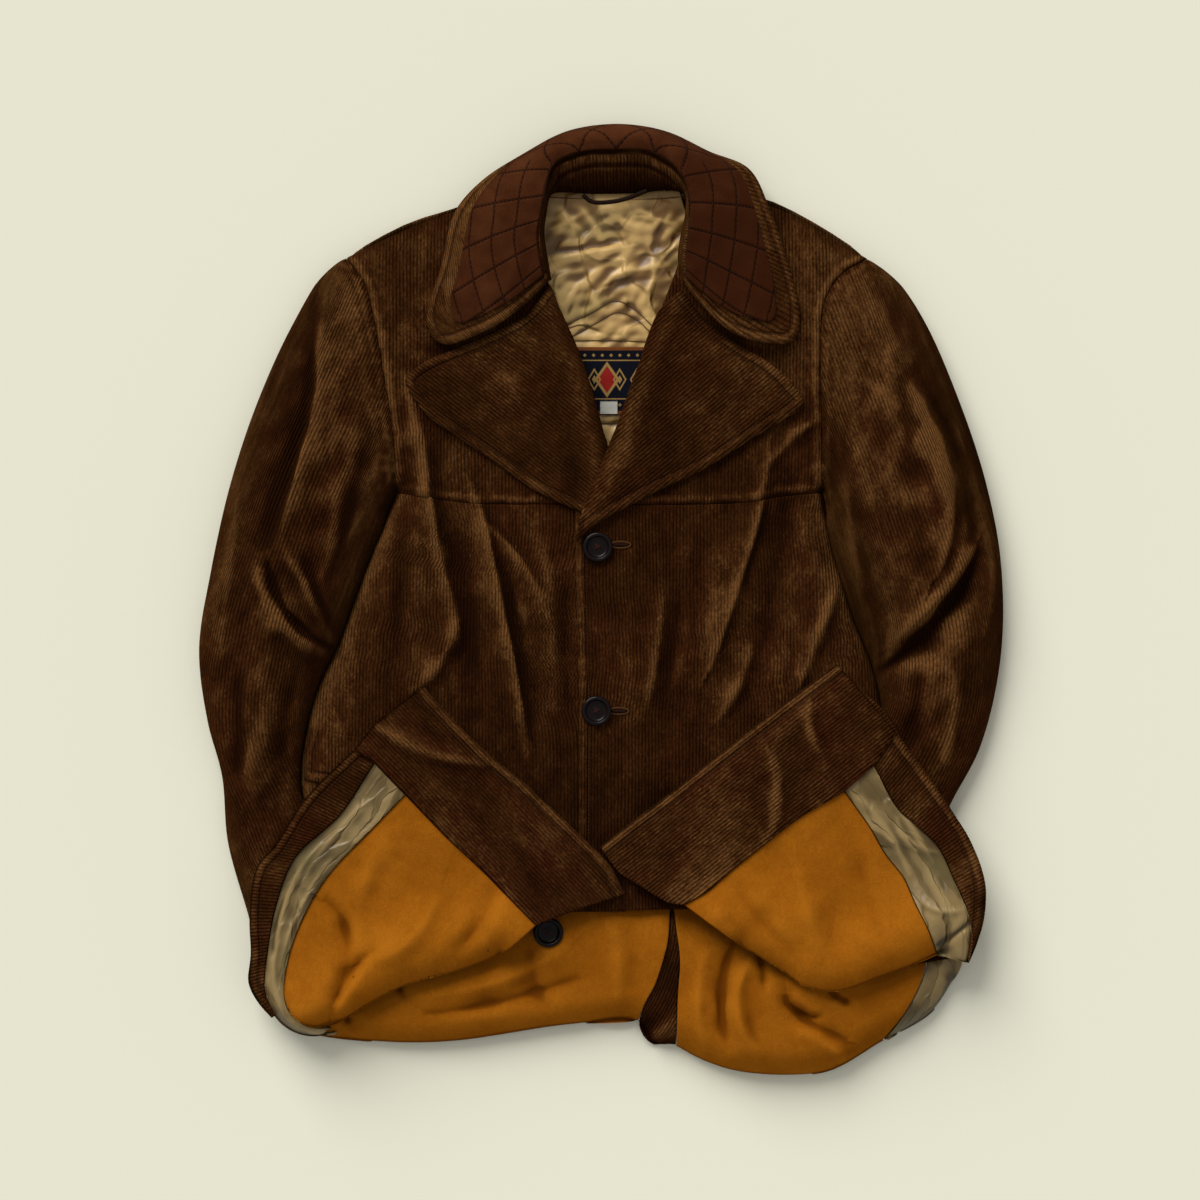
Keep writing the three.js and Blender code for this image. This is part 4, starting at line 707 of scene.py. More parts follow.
# Line of the armhole and side of each half, from the shoulder down, where the sleeve covers the body
sideLines = {"right": np.vstack([curve(armholeRight, 40), sideCurves[0][1:]]),
             "left": np.vstack([curve(armholeLeft, 40), sideCurves[1][1:]])}


def loft(x, y):
    fromSide = np.minimum(*[nearest(s, x, y)[0] for s in sideCurves])
    belowArm = smooth(95 - y, -45, 25)
    height = body["shoulder"] + (body["chest"] - body["shoulder"]) * roundOff(nearest(shoulderSamples, x, y)[0], 90)
    drop = (height - body["sideSeam"] - body["cloth"] - body["gap"]) * (1 - roundOff(fromSide - 2.5, body["roll"])) * belowArm
    return height - drop, fromSide


# How deep the panel dips where it goes under the sleeve
def tucked(x, y):
    depth = 0.0
    for side, way in (("right", -1), ("left", 1)):
        far, _, on = nearest(sideLines[side], x, y)
        depth = np.maximum(depth, smooth(far * on * way, -2.2, body["tuck"]))
    return depth * body["dip"]


def frontTop(x, y, folds=True):
    height, fromSide = loft(x, y)
    if folds:
        calm = smooth(y, -150, -90) * smooth(fromSide, 0, 22)
        height = height + foldHeight(bodyFolds, x, y)[0] * calm + 0.45 * ripple(x, y, 62, 4) + 0.25 * ripple(x, y, 26, 6)
    return height


def leftFrontTop(x, y, folds=True):
    return frontTop(x, y, folds) + body["lap"] * (1 - smooth(x, 22, 60))


# Yokes and fronts
shoulderSeams = {
    "right": [(-217, 292), (-170, 314), (-118, 333), (-54, 339)],
    "left": [(76, 340), (142, 337), (188, 314), (229, 291)],
}
rolls = {
    "right": [(-54, 339), (-54, 306), (-44, 270), (-34, 248), (-16, 207), (3, 144), (6, 128), (6, 104), (2, 82)],
    "left": [(76, 340), (72, 306), (65, 282), (52, 248), (33, 201), (14, 148), (-4, 99), (-13, 82)],
}
yokeSeams = {
    "right": [(-172.8, 92), (-144, 87), (-102, 82), (-20, 82), (2, 82)],
    "left": [(-13, 82), (60, 81), (119, 83), (153, 88), (188.8, 92)],
}
armRight = [(x - body["tuck"] * min(1, k / 2), y) for k, (x, y) in enumerate(armholeRight)]
armLeft = [(x + body["tuck"] * min(1, k / 2), y) for k, (x, y) in enumerate(armholeLeft)]
belowRight = np.array([(x - body["tuck"], y) for x, y in sideCurves[0]])
belowLeft = np.array([(x + body["tuck"], y) for x, y in sideCurves[1]])


def bodyPanel(name, borders, rows, columns, height, seams=(), stitches=True):
    plan = patch(*borders, rows, columns)
    x, y = plan[..., 0], plan[..., 1]
    stitched = sewn(x, y, *seams) if seams else {"edge": np.full(x.shape, 1e3), "along": x * 0}
    puckers = 0.35 * ripple(x, y, 13, 8) * np.exp(-((stitched["edge"] / 11) ** 2))
    wavy = height(x, y) + 1.5 * edgeRoll(stitched["edge"]) + puckers - tucked(x, y)
    plan[..., 0] += foldHeight(bodyFolds, x, y)[1] * smooth(y, -150, -90) * smooth(stitched["edge"], 2, 22)
    grid = lift(plan, wavy)
    stitched["edge"] = stitched["edge"] + 20 * (not stitches)
    sheet(name, grid, body["cloth"], clothMap(grid, 0), brown, "corduroy", nap=patches(napPlaces, x, y), **stitched)


bodyPanel("front_yoke_right", (armRight, rolls["right"], shoulderSeams["right"], yokeSeams["right"]), 110, 90, frontTop,
          [armholeRight, yokeSeams["right"]], stitches=False)
bodyPanel("front_yoke_left", (rolls["left"], armLeft, shoulderSeams["left"], yokeSeams["left"]), 110, 90, leftFrontTop,
          [armholeLeft, yokeSeams["left"]], stitches=False)
lowRight = [tuple(belowRight[-1]), (-190, -232), (-150, -262), (-100, -270), (-50, -266), (22, -265)]
lowLeft = [(-19, -264), (62, -263), (100, -262), (130, -250), (154, -206), tuple(belowLeft[-1])]
bodyPanel("front_right", (belowRight, [(22, 80), (22, -265)], yokeSeams["right"][:-2] + [(-20, 81.6), (22, 80)], lowRight),
          190, 150, frontTop)
leftEdge = [(-21, 82), (-21, 45), (-18, -94), (-19, -264)]
bodyPanel("front_left", (leftEdge, belowLeft, [(-21, 82)] + yokeSeams["left"][1:], lowLeft), 190, 150, leftFrontTop, [leftEdge])


# Back: mostly hidden, turned up at its edges
def backTop(x, y):
    fromSide = np.minimum(*[nearest(s, x, y)[0] for s in sideCurves])
    atSide = (body["sideSeam"] - 3) * (1 - roundOff(fromSide, body["roll"])) * smooth(95 - y, 0, 30)
    armEnd = smooth(215 - abs(x - 6), -9, 6)
    atShoulder = (body["shoulder"] - 2 * body["cloth"] - 0.8) * (1 - roundOff(nearest(shoulderSamples, x, y)[0], 24)) * armEnd
    return body["cloth"] + np.maximum(atSide, atShoulder)


backShoulder = [(-217, 292), (-170, 318), (-118, 338), (-78, 346), (-40, 343), (14, 341), (66, 343), (100, 348)]
backShoulder += [(142, 341), (188, 318), (229, 291)]
backSides = [np.vstack([curve(arm, 12), below[1:]]) for arm, below in ((armRight, belowRight), (armLeft, belowLeft))]
plan = patch(*backSides, backShoulder, [tuple(belowRight[-1]), (-120, -236), (100, -236), tuple(belowLeft[-1])], 60, 50)
grid = lift(plan, backTop(plan[..., 0], plan[..., 1]))
sheet("back", grid, body["cloth"], clothMap(grid, 0), brown, "corduroy", restsOn=("floor",))
print("fronts and back made")

# Sleeves: a flattened tube in two pieces. The heights belong to the shares of its length.
sleeveShares = [0, 0.1, 0.3, 0.52, 0.64, 0.8, 1]
sleeveHeights = {"right": [25, 33, 38, 38, 34, 26, 25], "left": [25, 33, 38, 36, 28, 26, 25]}
sleeveShape = {"seam": 0.42, "top": 2.3, "under": 4.0, "gap": 0.3, "lip": 3.8, "cap": 1.2, "head": 4.0}
sleeveFolds = [
    (-234, 276, -236, 218, -238, 168, 17, 2.6, 6.5, 1.3),
    (-236, 190, -250, 122, -273, 46, 17, 2.6, 7, 1.3),
    (-241, 270, -243, 222, -245, 168, 2.6, 11, -5.5, 1.5),
    (-243, 186, -257, 122, -281, 46, 2.6, 12, -6, 1.5),
    (-206, 210, -205, 150, -222, 90, 6, 8, 3, 1.7),
    (-200, 130, -206, 96, -222, 40, 5, 7, -4, 1.8),
    (-289, 36, -276, -10, -232, -46, 9, 10, 9, 1.6),
    (-282, 30, -262, -16, -228, -42, 4, 4, -11, 1.6),
    (-262, 34, -244, 4, -226, -36, 7, 5, 6, 1.7),
    (-250, 34, -238, 0, -225, -30, 5, 4, -8, 1.7),
    (-300, 150, -312, 60, -322, -40, 8, 12, 4, 1.7),
    (-318, 110, -330, 40, -336, -30, 5, 6, -3, 1.8),
    (-290, -40, -285, -90, -290, -150, 14, 12, 4, 1.7),
    (-308, -60, -306, -110, -308, -170, 6, 8, -4, 1.8),
    (-262, -70, -268, -110, -270, -160, 8, 8, -4, 1.8),
    (-222, 100, -226, 50, -240, 10, 6, 8, 4, 1.6),
    (262, 182, 294, 94, 282, 20, 5, 18, 10, 1.5),
    (268, 190, 306, 110, 316, 30, 8, 6, -6, 1.8),
    (316, 36, 290, -10, 238, -62, 13, 5, -16, 1.8),
    (318, 46, 292, 10, 244, -40, 5, 12, 9, 1.5),
    (326, 62, 334, 20, 326, -30, 6, 6, 5, 1.6),
    (222, 256, 212, 180, 228, 90, 10, 13, 5, 1.6),
    (250, 240, 260, 160, 262, 100, 10, 9, -5, 1.8),
    (206, 120, 212, 60, 226, -10, 5, 8, 4, 1.6),
    (300, -64, 300, -100, 290, -150, 8, 13, 5, 1.6),
    (270, -60, 268, -90, 262, -130, 7, 9, -4, 1.8),
    (-196, 250, -214, 240, -236, 232, 4, 5, 3, 1.7),
    (204, 190, 222, 186, 240, 178, 4, 6, 2.4, 1.7),
]


def sleeve(side, outer, inner, arm):
    t = edged(240, 0.5)
    share = (1 - np.cos(np.pi * np.linspace(0, 1, 81))) / 2
    o, i, a = curve(outer, at=t)[:, None], curve(inner, at=t)[:, None], curve(arm, at=share)[None]
    middle = (o[:, 0] + i[:, 0]) / 2
    middle = np.vstack([middle[28] * 5 - middle[72] * 4, middle[28:]])
    runs = np.concatenate([[0], np.cumsum(np.linalg.norm(np.diff(middle, axis=0), axis=1))])
    towardsBody = 1 if side == "right" else -1
    bow = smooth(1 - t * 16, 0, 1)[:, None, None]
    height = np.interp(t, np.linspace(0, 1, 80), smoothHeights(side))[:, None]
    seam = height * sleeveShape["seam"]
    across = abs(2 * share - 1)[None]
    for upper in (True, False):
        lip = towardsBody * sleeveShape["lip"] * smooth(t, 0.03, 0.09)[:, None] * (share**6)[None] * upper
        plan = o + (i - o) * share[None, :, None]
        plan[..., 0] += lip
        plan = plan + (a - plan) * bow
        x, y = plan[..., 0], plan[..., 1]
        near = sewn(x, y, arm)
        power = sleeveShape["top" if upper else "under"]
        arch = (1 - across**power) ** (1 / power)
        if upper:
            z = seam + sleeveShape["gap"] / 2 + (height - seam) * arch
            away = np.minimum(1, t * 6)[:, None]
            folds, lean = foldHeight(sleeveFolds, x, y, 40)
            plan[..., 0] += lean * away * arch
            z = z + arch * (folds * away + 0.6 * ripple(x, y, 55, 7) + 0.3 * ripple(x, y, 24, 9))
            begin = frontTop(x, y, False) + sleeveShape["cap"] + sleeveShape["head"] * smooth(near["edge"], 0, 16)
            z = z + (begin - z) * smooth(1 - t * 13, 0, 1)[:, None] * np.minimum(1, arch * 1.6)
            z = z + 1.4 * edgeRoll(near["edge"]) + 0.5 * ripple(x, y, 12, 3) * np.exp(-((near["edge"] / 12) ** 2))
        else:
            z = (seam - sleeveShape["gap"] / 2) * (1 - arch)
        far, along, on = nearest(middle, x, y)
        laid = np.dstack([far * on * (1 + 0.35 * (far / 48) ** 4), -np.interp(along * (len(runs) - 1), range(len(runs)), runs)])
        grid = lift(plan, z)
        nap = patches(napPlaces, x, y)
        edge = near["edge"] + 20
        if not upper:
            grid, laid, nap, edge = grid[::2, ::4], laid[::2, ::4], nap[::2, ::4], edge[::2, ::4]
        sheet(("top_sleeve_" if upper else "under_sleeve_") + side, grid, body["cloth"], laid, brownSleeve, "corduroy",
              restsOn=("floor",), down=upper, edge=edge, nap=nap)


def smoothHeights(side):
    t = np.linspace(0, 1, 80)
    low = np.clip(np.searchsorted(sleeveShares, t) - 1, 0, len(sleeveShares) - 2)
    h = np.array(sleeveHeights[side], float)
    s = smooth(t, np.take(sleeveShares, low), np.take(sleeveShares, low + 1))
    return h[low] * (1 - s) + h[low + 1] * s


sleeve("right", outerRight, innerRight, armholeRight)
sleeve("left", outerLeft, innerLeft, armholeLeft)
print("sleeves made")

# Lapels
lapel = {"rollWidth": 11.0, "roll": 3.5, "thick": 3.0, "wave": 0.9}
lapels = {
    "right": {
        "below": frontTop, "angle": -52,
        "gorge": [(-161, 194), (-147, 203), (-120, 215), (-90, 228), (-62, 244), (-43, 268)],
        "outer": [(-161, 176), (-147, 157), (-123, 139), (-88, 116), (-54, 92), (-12, 72)],
        "tip": [(-161, 194), (-166, 186), (-161, 176)],
        "fold": [(-43, 268), (-34, 248), (-16, 207), (3, 144), (7, 124), (2, 98), (-12, 72)],
    },
    "left": {
        "below": leftFrontTop, "angle": 50,
        "gorge": [(168, 178), (146, 200), (119, 217), (95, 234), (80, 250), (70, 264)],
        "outer": [(166, 159), (133, 139), (87, 110), (51, 93), (6, 69), (-10, 58), (-22, 47)],
        "tip": [(168, 178), (173, 169), (166, 159)],
        "fold": [(70, 264), (52, 248), (33, 201), (14, 148), (-5, 99), (-13, 82), (-22, 47)],
    },
}
for side, one in lapels.items():
    plan = patch(one["tip"], one["fold"], one["gorge"], one["outer"], 80, 96)
    x, y = plan[..., 0], plan[..., 1]
    fromRoll = nearest(curve(rolls[side], 60), x, y)[0]
    bulge = lapel["roll"] * np.exp(-(((fromRoll - lapel["rollWidth"]) / lapel["rollWidth"]) ** 2))
    near = sewn(x, y, one["outer"], one["gorge"], one["tip"])
    tucked = 2.6 * np.exp(-((nearest(curve(one["gorge"], 40), x, y)[0] / 7) ** 2)) * smooth(abs(x), 150, 110)
    waves = lapel["wave"] * (ripple(x, y, 70, 12) + 0.4 * ripple(x, y, 30, 13)) * smooth(fromRoll, 8, 40)
    z = one["below"](x, y, False) + body["over"] + lapel["thick"] + lapel["wave"] + bulge + waves - tucked
    grid = lift(plan, z + 1.4 * edgeRoll(near["edge"]))
    sheet("lapel_" + side, grid, lapel["thick"], clothMap(grid, one["angle"]), brownLapel, "corduroy", held="folded",
          restsOn=("front_yoke_" + side,), nap=patches(napPlaces, x, y), **near)

# Collar: sections from the right notch round the neck to the left notch
# outer edge x, y, z; roll line x, y, z; foot of the stand x, y, z
collarRows = np.array([
    (-138, 211, 31, -44, 269, 37, -41, 272, 29),
    (-148, 238, 30, -48, 288, 41, -44, 290, 27),
    (-136, 283, 28, -51, 310, 43, -47, 311, 27),
    (-124, 331, 24, -49, 334, 44, -45, 330, 25),
    (-100, 359, 17, -46, 358, 43, -41, 345, 20),
    (-66, 382, 9, -38, 376, 41, -30, 347, 17),
    (-28, 402, 6, -16, 386, 39, -10, 346, 16),
    (14, 408, 6, 14, 388, 39, 13, 346, 16),
    (56, 402, 6, 44, 386, 39, 38, 347, 16),
    (94, 384, 9, 62, 374, 41, 58, 349, 17),
    (128, 368, 17, 75, 352, 43, 71, 345, 20),
    (144, 336, 24, 76, 330, 44, 72, 328, 25),
    (158, 296, 28, 72, 308, 43, 68, 309, 27),
    (170, 248, 30, 70, 288, 41, 66, 290, 27),
    (169, 214, 31, 72, 267, 37, 70, 271, 29),
], float) - np.array([0, 0, 1.7] * 3)
collar = {"bulge": 4.0, "rollAt": 0.62, "wave": 0.8, "sagRight": 10.0, "sagLeft": 19.0, "endRise": 2.6}


# The three rails of the collar at shares of its sections, so that they stay in step
def rails(points, at):
    found = []
    for k in (0, 3, 6):
        line = curve(points[:, k : k + 3], len(points) * 12)
        spots = [np.linalg.norm(line - p, axis=1).argmin() / (len(line) - 1) for p in points[:, k : k + 3]]
        share = np.interp(at * (len(points) - 1), range(len(points)), spots)
        found.append(np.stack([np.interp(share * (len(line) - 1), range(len(line)), line[:, c]) for c in range(3)], 1)[:, None])
    return found


def collarGrid(along, across):
    outer, roll, foot = rails(collarRows, along)
    q = np.broadcast_to(across, (len(along), np.shape(across)[-1]))[..., None]
    s = np.clip(q / collar["rollAt"], 0, 1)
    leaf = outer + (roll - outer) * s
    leaf[..., 2:] = outer[..., 2:] + (roll - outer)[..., 2:] * np.sin(s * np.pi / 2) + collar["bulge"] * np.sin(s * np.pi) * (1 - s)
    end = np.exp(-((along / 0.055) ** 2)), np.exp(-(((1 - along) / 0.055) ** 2))
    sag = (collar["sagRight"] * end[0] + collar["sagLeft"] * end[1])[:, None] * np.sin(np.pi * s[..., 0] ** 1.25)
    leaf[..., 1] -= sag
    leaf[..., 2] += collar["endRise"] * (end[0] + end[1])[:, None] * np.sin(np.pi * np.clip(s[..., 0] + 0.15, 0, 1))
    w = np.clip((q - collar["rollAt"]) / (1 - collar["rollAt"]), 0, 1)
    stand = roll + (foot - roll) * w
    stand[..., 2:] = foot[..., 2:] + (roll - foot)[..., 2:] * np.maximum(np.cos(w * np.pi / 2), 0) ** 0.9
    grid = np.where(q <= collar["rollAt"], leaf, stand)
    x, y = grid[..., 0], grid[..., 1]
    grid[..., 2] += collar["wave"] * ripple(x, y, 64, 31) * (1 - s[..., 0]) + 0.3 * ripple(x, y, 26, 32)
    arc = np.hstack([np.zeros((len(along), 1)), np.cumsum(np.linalg.norm(np.diff(grid, axis=1), axis=-1), 1)])
    return grid, arc


along, across = edged(240), edged(60)
grid, arc = collarGrid(along, across)
x, y = grid[..., 0], grid[..., 1]
run = np.vstack([0 * arc[:1], np.cumsum(np.linalg.norm(np.diff(grid, axis=0), axis=-1), 0)])
near = np.minimum(arc, np.minimum(run, run[-1] - run))
onStand = smooth(across[None], 0.66, 0.72)
rollArc = np.stack([np.interp(collar["rollAt"], across, row) for row in arc])[:, None]
down = arc - rollArc
behind = smooth(abs(run - run[-1] / 2), 84, 56)
creases = np.exp(-(((down - 7 - 2 * ripple(x, y, 50, 3)) / 2.0) ** 2)) + 0.6 * np.exp(-(((down - 20) / 1.6) ** 2))
creases = creases * onStand * behind
grid[..., 2] += 1.5 * edgeRoll(near) * (1 - onStand) - 2.2 * creases
grid = roundCorner(roundCorner(grid, 0, 0, 17), -1, 0, 17)
run = run - run[120]
slanted = np.dstack([(arc * 0.78 + run * 0.62) * (1 - onStand) + run * onStand, arc * 0.62 - run * 0.78])
# Painted shade in the creases of the stand and towards its foot; the fall, and the wearer's right leaf more, lighter
sheet("collar", grid, body["cloth"], slanted, brownLapel, "corduroy", held="folded",
      restsOn=("front_yoke_right", "front_yoke_left"), edge=near + 1000 * onStand, along=run + 0 * arc,
      nap=(0.55 + 0.25 * smooth(-x, 60, 110)) * (1 - onStand) - 0.7 * creases - 0.3 * smooth(down, 16, 30) * onStand)

along = 0.032 + 0.936 * edged(220)
reach = 0.47 + 0.07 * smooth(0.36 - abs(along - 0.5), 0.0, 0.16)
grid, arc = collarGrid(along, 0.135 + reach[:, None] * edged(40))
run = np.concatenate([[0], np.cumsum(np.linalg.norm(np.diff(grid[:, 20], axis=0), axis=-1))])[:, None]
x, y = grid[..., 0], grid[..., 1]
out = gridNormals(grid)
grid = grid + out * np.sign(out[..., 2:].mean()) * 2.2
grid[..., 2] += 0.4 * ripple(x, y, 24, 77)
grid = roundCorner(roundCorner(grid, 0, 0, 10), -1, 0, 10)
# Painted shade: the inlay on the wearer's left leaf, at +X, darker
sheet("collar_inlay", grid, 1.2, np.dstack([run - run[-1] / 2 + 0 * arc, arc - arc[:, -1:]]), suedeBrown, "suede",
      held="folded", restsOn=("collar",), edge=1e3, nap=-1.2 * smooth(x, 30, 90))
print("lapels and collar made")

# Turned-up corners
corners = {
    "right": {
        "front": [(-150, -72), (-141, -83), (-98, -127), (-59, -159), (-22, -194), (8, -224), (21, -249)],
        "hem": [(-150, -72), (-193, -107), (-209, -127), (-250, -168), (-275, -207), (-291, -226), (-297, -268),
                (-296, -300), (-298, -325), (-290, -342), (-278, -355)],
        "hemIn": [(-191, -138), (-221, -183), (-258, -218), (-274, -257), (-282, -300), (-284, -328), (-280, -344),
                  (-276, -353)],
        "satinIn": [(-165, -165), (-193, -194), (-230, -233), (-249, -264), (-263, -300), (-267, -333), (-262, -349)],
        "curlOuter": [(-266, -363), (-245, -371), (-224, -369)],
        "curlInner": [(-246, -361), (-226, -365)],
        "facingIn": [(-209, -127), (-191, -138), (-165, -165), (-130, -201), (-98, -231), (-74, -255), (-54, -275)],
        "facingEnd": [(21, -249), (-8, -259), (-34, -268), (-54, -275)],
        "foldUpper": [(-54, -275), (-85, -300), (-119, -313), (-144, -319)],
        "foldLower": [(-262, -349), (-246, -361), (-226, -360), (-196, -342), (-170, -328), (-144, -319)],
        "curl": [(-304, -322), (-299, -334), (-279, -358), (-258, -371), (-238, -371), (-226, -366)],
        "fold": [(-85, -302), (-119, -315), (-144, -321), (-170, -330), (-196, -345), (-226, -366)],
        "hemFrom": 3,
        "frontAngle": -44,
        "tone": 0.1,
    },
    "left": {
        "front": [(201, -54), (168, -78), (109, -123), (61, -162), (26, -188), (0, -209)],
        "hem": [(201, -54), (218, -73), (241, -93), (264, -131), (280, -152), (298, -178), (315, -206), (326, -240),
                (325, -268), (319, -288), (313, -303)],
        "hemIn": [(232, -140), (252, -176), (286, -209), (300, -238), (311, -265), (314, -286), (311, -307)],
        "satinIn": [(207, -162), (229, -193), (241, -214), (257, -235), (267, -258), (276, -276), (286, -301)],
        "curlOuter": [],
        "curlInner": [],
        "facingIn": [(251, -112), (232, -140), (207, -162), (168, -185), (133, -212), (109, -231), (90, -247), (71, -258)],
        "facingEnd": [(0, -209), (16, -231), (35, -243), (57, -256), (71, -258)],
        "foldUpper": [(71, -258), (121, -293), (152, -312), (171, -326)],
        "foldLower": [(285, -301), (264, -310), (233, -321), (200, -331), (171, -326)],
        "curl": [(334, -262), (330, -280), (316, -312), (300, -318)],
        "fold": [(118, -295), (152, -315), (171, -330), (200, -336), (233, -325), (264, -310), (290, -298)],
        "hemFrom": 4,
        "frontAngle": 52,
        "tone": 0.4,
    },
}
corner = {"under": 29.0, "puff": 12.0, "foldDrop": 9.0, "foldWidth": 20.0, "curlDrop": 24.0, "curlWidth": 28.0,
          "rollSpace": 5.0, "apart": 1.5, "band": 1.6}
cornerFolds = [
    (-188, -108, -145, -130, -86, -140, 8, 5, 4, 1.5),
    (178, -86, 178, -108, 188, -132, 5, 8, 4, 1.5),
    (145, -131, 151, -165, 143, -204, 5, 8, 4, 1.5),
    (-232, -256, -214, -285, -222, -334, 6, 11, -6, 1.7),
    (-190, -296, -212, -318, -226, -350, 5, 8, -7, 1.6),
    (-136, -246, -158, -285, -190, -304, 9, 16, 5, 1.6),
    (-90, -238, -100, -270, -124, -300, 8, 9, -4.5, 1.7),
    (-180, -200, -196, -232, -204, -262, 12, 9, 3.5, 1.8),
    (168, -226, 176, -262, 194, -306, 10, 15, 5, 1.6),
    (118, -246, 140, -276, 166, -304, 8, 9, -4.5, 1.7),
    (216, -210, 224, -240, 240, -286, 8, 9, -3.5, 1.7),
    (92, -256, 104, -272, 118, -288, 6, 7, 2.5, 1.7),
]
bandFolds = [
    (-236, -206, -262, -244, -274, -292, 2.5, 3.5, 2.2, 1.4),
    (-228, -222, -254, -262, -270, -310, 2.0, 4.0, 2.0, 1.4),
    (-205, -178, -232, -208, -252, -236, 3.0, 3.0, 1.8, 1.4),
    (-258, -232, -272, -268, -277, -300, 2.0, 2.5, -2.0, 1.5),
    (-190, -165, -206, -180, -222, -204, 2.5, 3.0, 1.5, 1.4),
    (-272, -290, -276, -318, -268, -350, 2.5, 3.0, 2.0, 1.4),
    (-268, -352, -250, -364, -232, -368, 3.0, 3.0, 1.5, 1.5),
    (236, -150, 262, -190, 282, -222, 3.0, 3.0, 2.0, 1.4),
    (222, -168, 246, -200, 262, -232, 2.5, 3.0, 1.8, 1.4),
    (252, -186, 262, -204, 286, -214, 2.5, 3.0, 2.0, 1.4),
    (276, -224, 286, -244, 296, -262, 2.5, 3.5, 2.0, 1.4),
    (270, -250, 284, -262, 306, -262, 3.0, 2.5, 1.8, 1.4),
    (283, -293, 298, -284, 313, -271, 2.5, 2.5, -3.0, 1.5),
]
for side, table in corners.items():
    curl, fold = curve(table["curl"], 40), curve(table["fold"], 40)

    def base(x, y):
        fromCurl, fromFold = nearest(curl, x, y)[0], nearest(fold, x, y)[0]
        puff = corner["puff"] * np.exp(-(((fromFold - 26) / 30) ** 2))
        drop = corner["foldDrop"] * (1 - roundOff(fromFold, corner["foldWidth"]))
        down = (corner["curlDrop"] + puff) * (1 - roundOff(fromCurl, corner["curlWidth"]))
        folds = foldHeight(cornerFolds, x, y, 60)[0] + 0.7 * ripple(x, y, 64, 15) + 0.3 * ripple(x, y, 28, 16)
        return np.maximum(1, corner["under"] + puff + folds - drop - down)

    def carrierTop(x, y):
        fromRoll = np.minimum(nearest(curl, x, y)[0], nearest(fold, x, y)[0])
        return base(x, y) + body["cloth"] - corner["rollSpace"] * np.exp(-((fromRoll / corner["curlWidth"]) ** 2))

    # One layer of the corner: its borders, rows and columns, height, cloth and look
    def layer(name, borders, size, rise, thickness, look, slotName, seam=None, strip=None, angle=0, restsOn="turned_up_front_",
              nap=0.0, creases=()):
        plan = inset(patch(*borders, *size), 0.4 if rise else 0.6)
        x, y = plan[..., 0], plan[..., 1]
        near = sewn(x, y, seam) if seam else {"edge": np.full(x.shape, 1e3), "along": x * 0}
        z = base(x, y) + rise + edgeRoll(near["edge"], 1.2) if rise else carrierTop(x, y)
        grid = lift(plan, z + foldHeight(creases, x, y, 30)[0])
        laid = clothMap(grid, angle) if strip is None else stripMap(grid, strip)
        sheet(name + side, grid, thickness, laid, look, slotName, held="folded", restsOn=(restsOn + side,), nap=nap, **near)

    over = body["cloth"] + corner["apart"]
    hem, hemIn, satinIn, facingIn = table["hem"], table["hemIn"], table["satinIn"], table["facingIn"]
    layer("turned_up_front_", (hem, table["facingEnd"] + table["foldUpper"][1:], table["front"], hem[-1:] + table["foldLower"][1:]),
          (44, 44), 0, body["cloth"], brown, "corduroy", angle=table["frontAngle"], restsOn="front_")
    layer("facing_", (hem[:2] + facingIn[:1], table["facingEnd"], table["front"], facingIn), (36, 130), over + body["cloth"],
          body["cloth"], brownInside, "corduroy", seam=table["front"], angle=table["frontAngle"], nap=table["tone"])
    outer = facingIn[:1] + hem[table["hemFrom"] :]
    layer("hem_", (outer, hemIn, [facingIn[0], hemIn[0]], [hem[-1], hemIn[-1]]), (130, 18), over + body["cloth"],
          body["cloth"], brownInside, "corduroy", seam=outer, strip=False, nap=table["tone"])
    bandOuter, bandInner = hemIn + table["curlOuter"], satinIn + table["curlInner"]
    layer("satin_band_", (bandOuter, bandInner, [bandOuter[0], bandInner[0]], [bandOuter[-1], bandInner[-1]]), (180, 24),
          over + corner["band"], corner["band"], sage, "satin_band", strip=True, creases=bandFolds)
    layer("front_lining_", (satinIn, table["foldUpper"], facingIn[2:], table["foldLower"]), (120, 120), over + corner["band"],
          corner["band"], orange, "wool_lining")
print("turned-up corners made")

# Lower back, seen from the inside, on either side of the vent
bottomEdge = [(-262, -366), (-236, -375), (-212, -377), (-162, -380), (-119, -378), (-76, -372), (-32, -365), (33, -361)]
bottomEdge += [(45, -379), (64, -382), (85, -393), (114, -403), (156, -407), (193, -404), (212, -396), (241, -378)]
bottomEdge += [(283, -354), (302, -328)]
upperEdge = [(-240, -330), (-150, -300), (-60, -258), (64, -254), (170, -305), (280, -290)]
skirt = {"height": 24.0, "rounding": 26.0, "puffX": 160, "puffY": -350, "puffRadius": 62, "puff": 8.0, "under": 11.0}
skirtFolds = [
    (128, -308, 117, -345, 134, -388, 5, 10, 7, 1.5),
    (113, -296, 104, -335, 108, -380, 6, 7, -8, 1.7),
    (158, -334, 170, -354, 208, -374, 6, 9, -10, 1.6),
    (160, -344, 174, -353, 186, -354, 5, 5, -8, 1.6),
    (133, -300, 138, -312, 139, -328, 4, 4, -5, 1.7),
    (193, -331, 203, -338, 213, -344, 4, 4, -5, 1.7),
    (170, -320, 200, -326, 236, -322, 8, 8, 5, 1.6),
    (176, -366, 200, -384, 208, -396, 6, 6, 4, 1.6),
    (90, -300, 84, -340, 88, -384, 7, 9, 4, 1.6),
    (-150, -338, -80, -322, -30, -296, 13, 9, 6, 1.5),
    (-146, -352, -84, -342, -20, -322, 5, 7, -4, 1.7),
    (-178, -316, -175, -324, -168, -336, 4, 4, -6, 1.6),
    (-226, -340, -218, -352, -212, -362, 4, 5, -6, 1.6),
    (-60, -296, -54, -330, -40, -352, 8, 12, -3, 1.7),
    (10, -276, 16, -306, 14, -344, 8, 10, 3, 1.7),
]
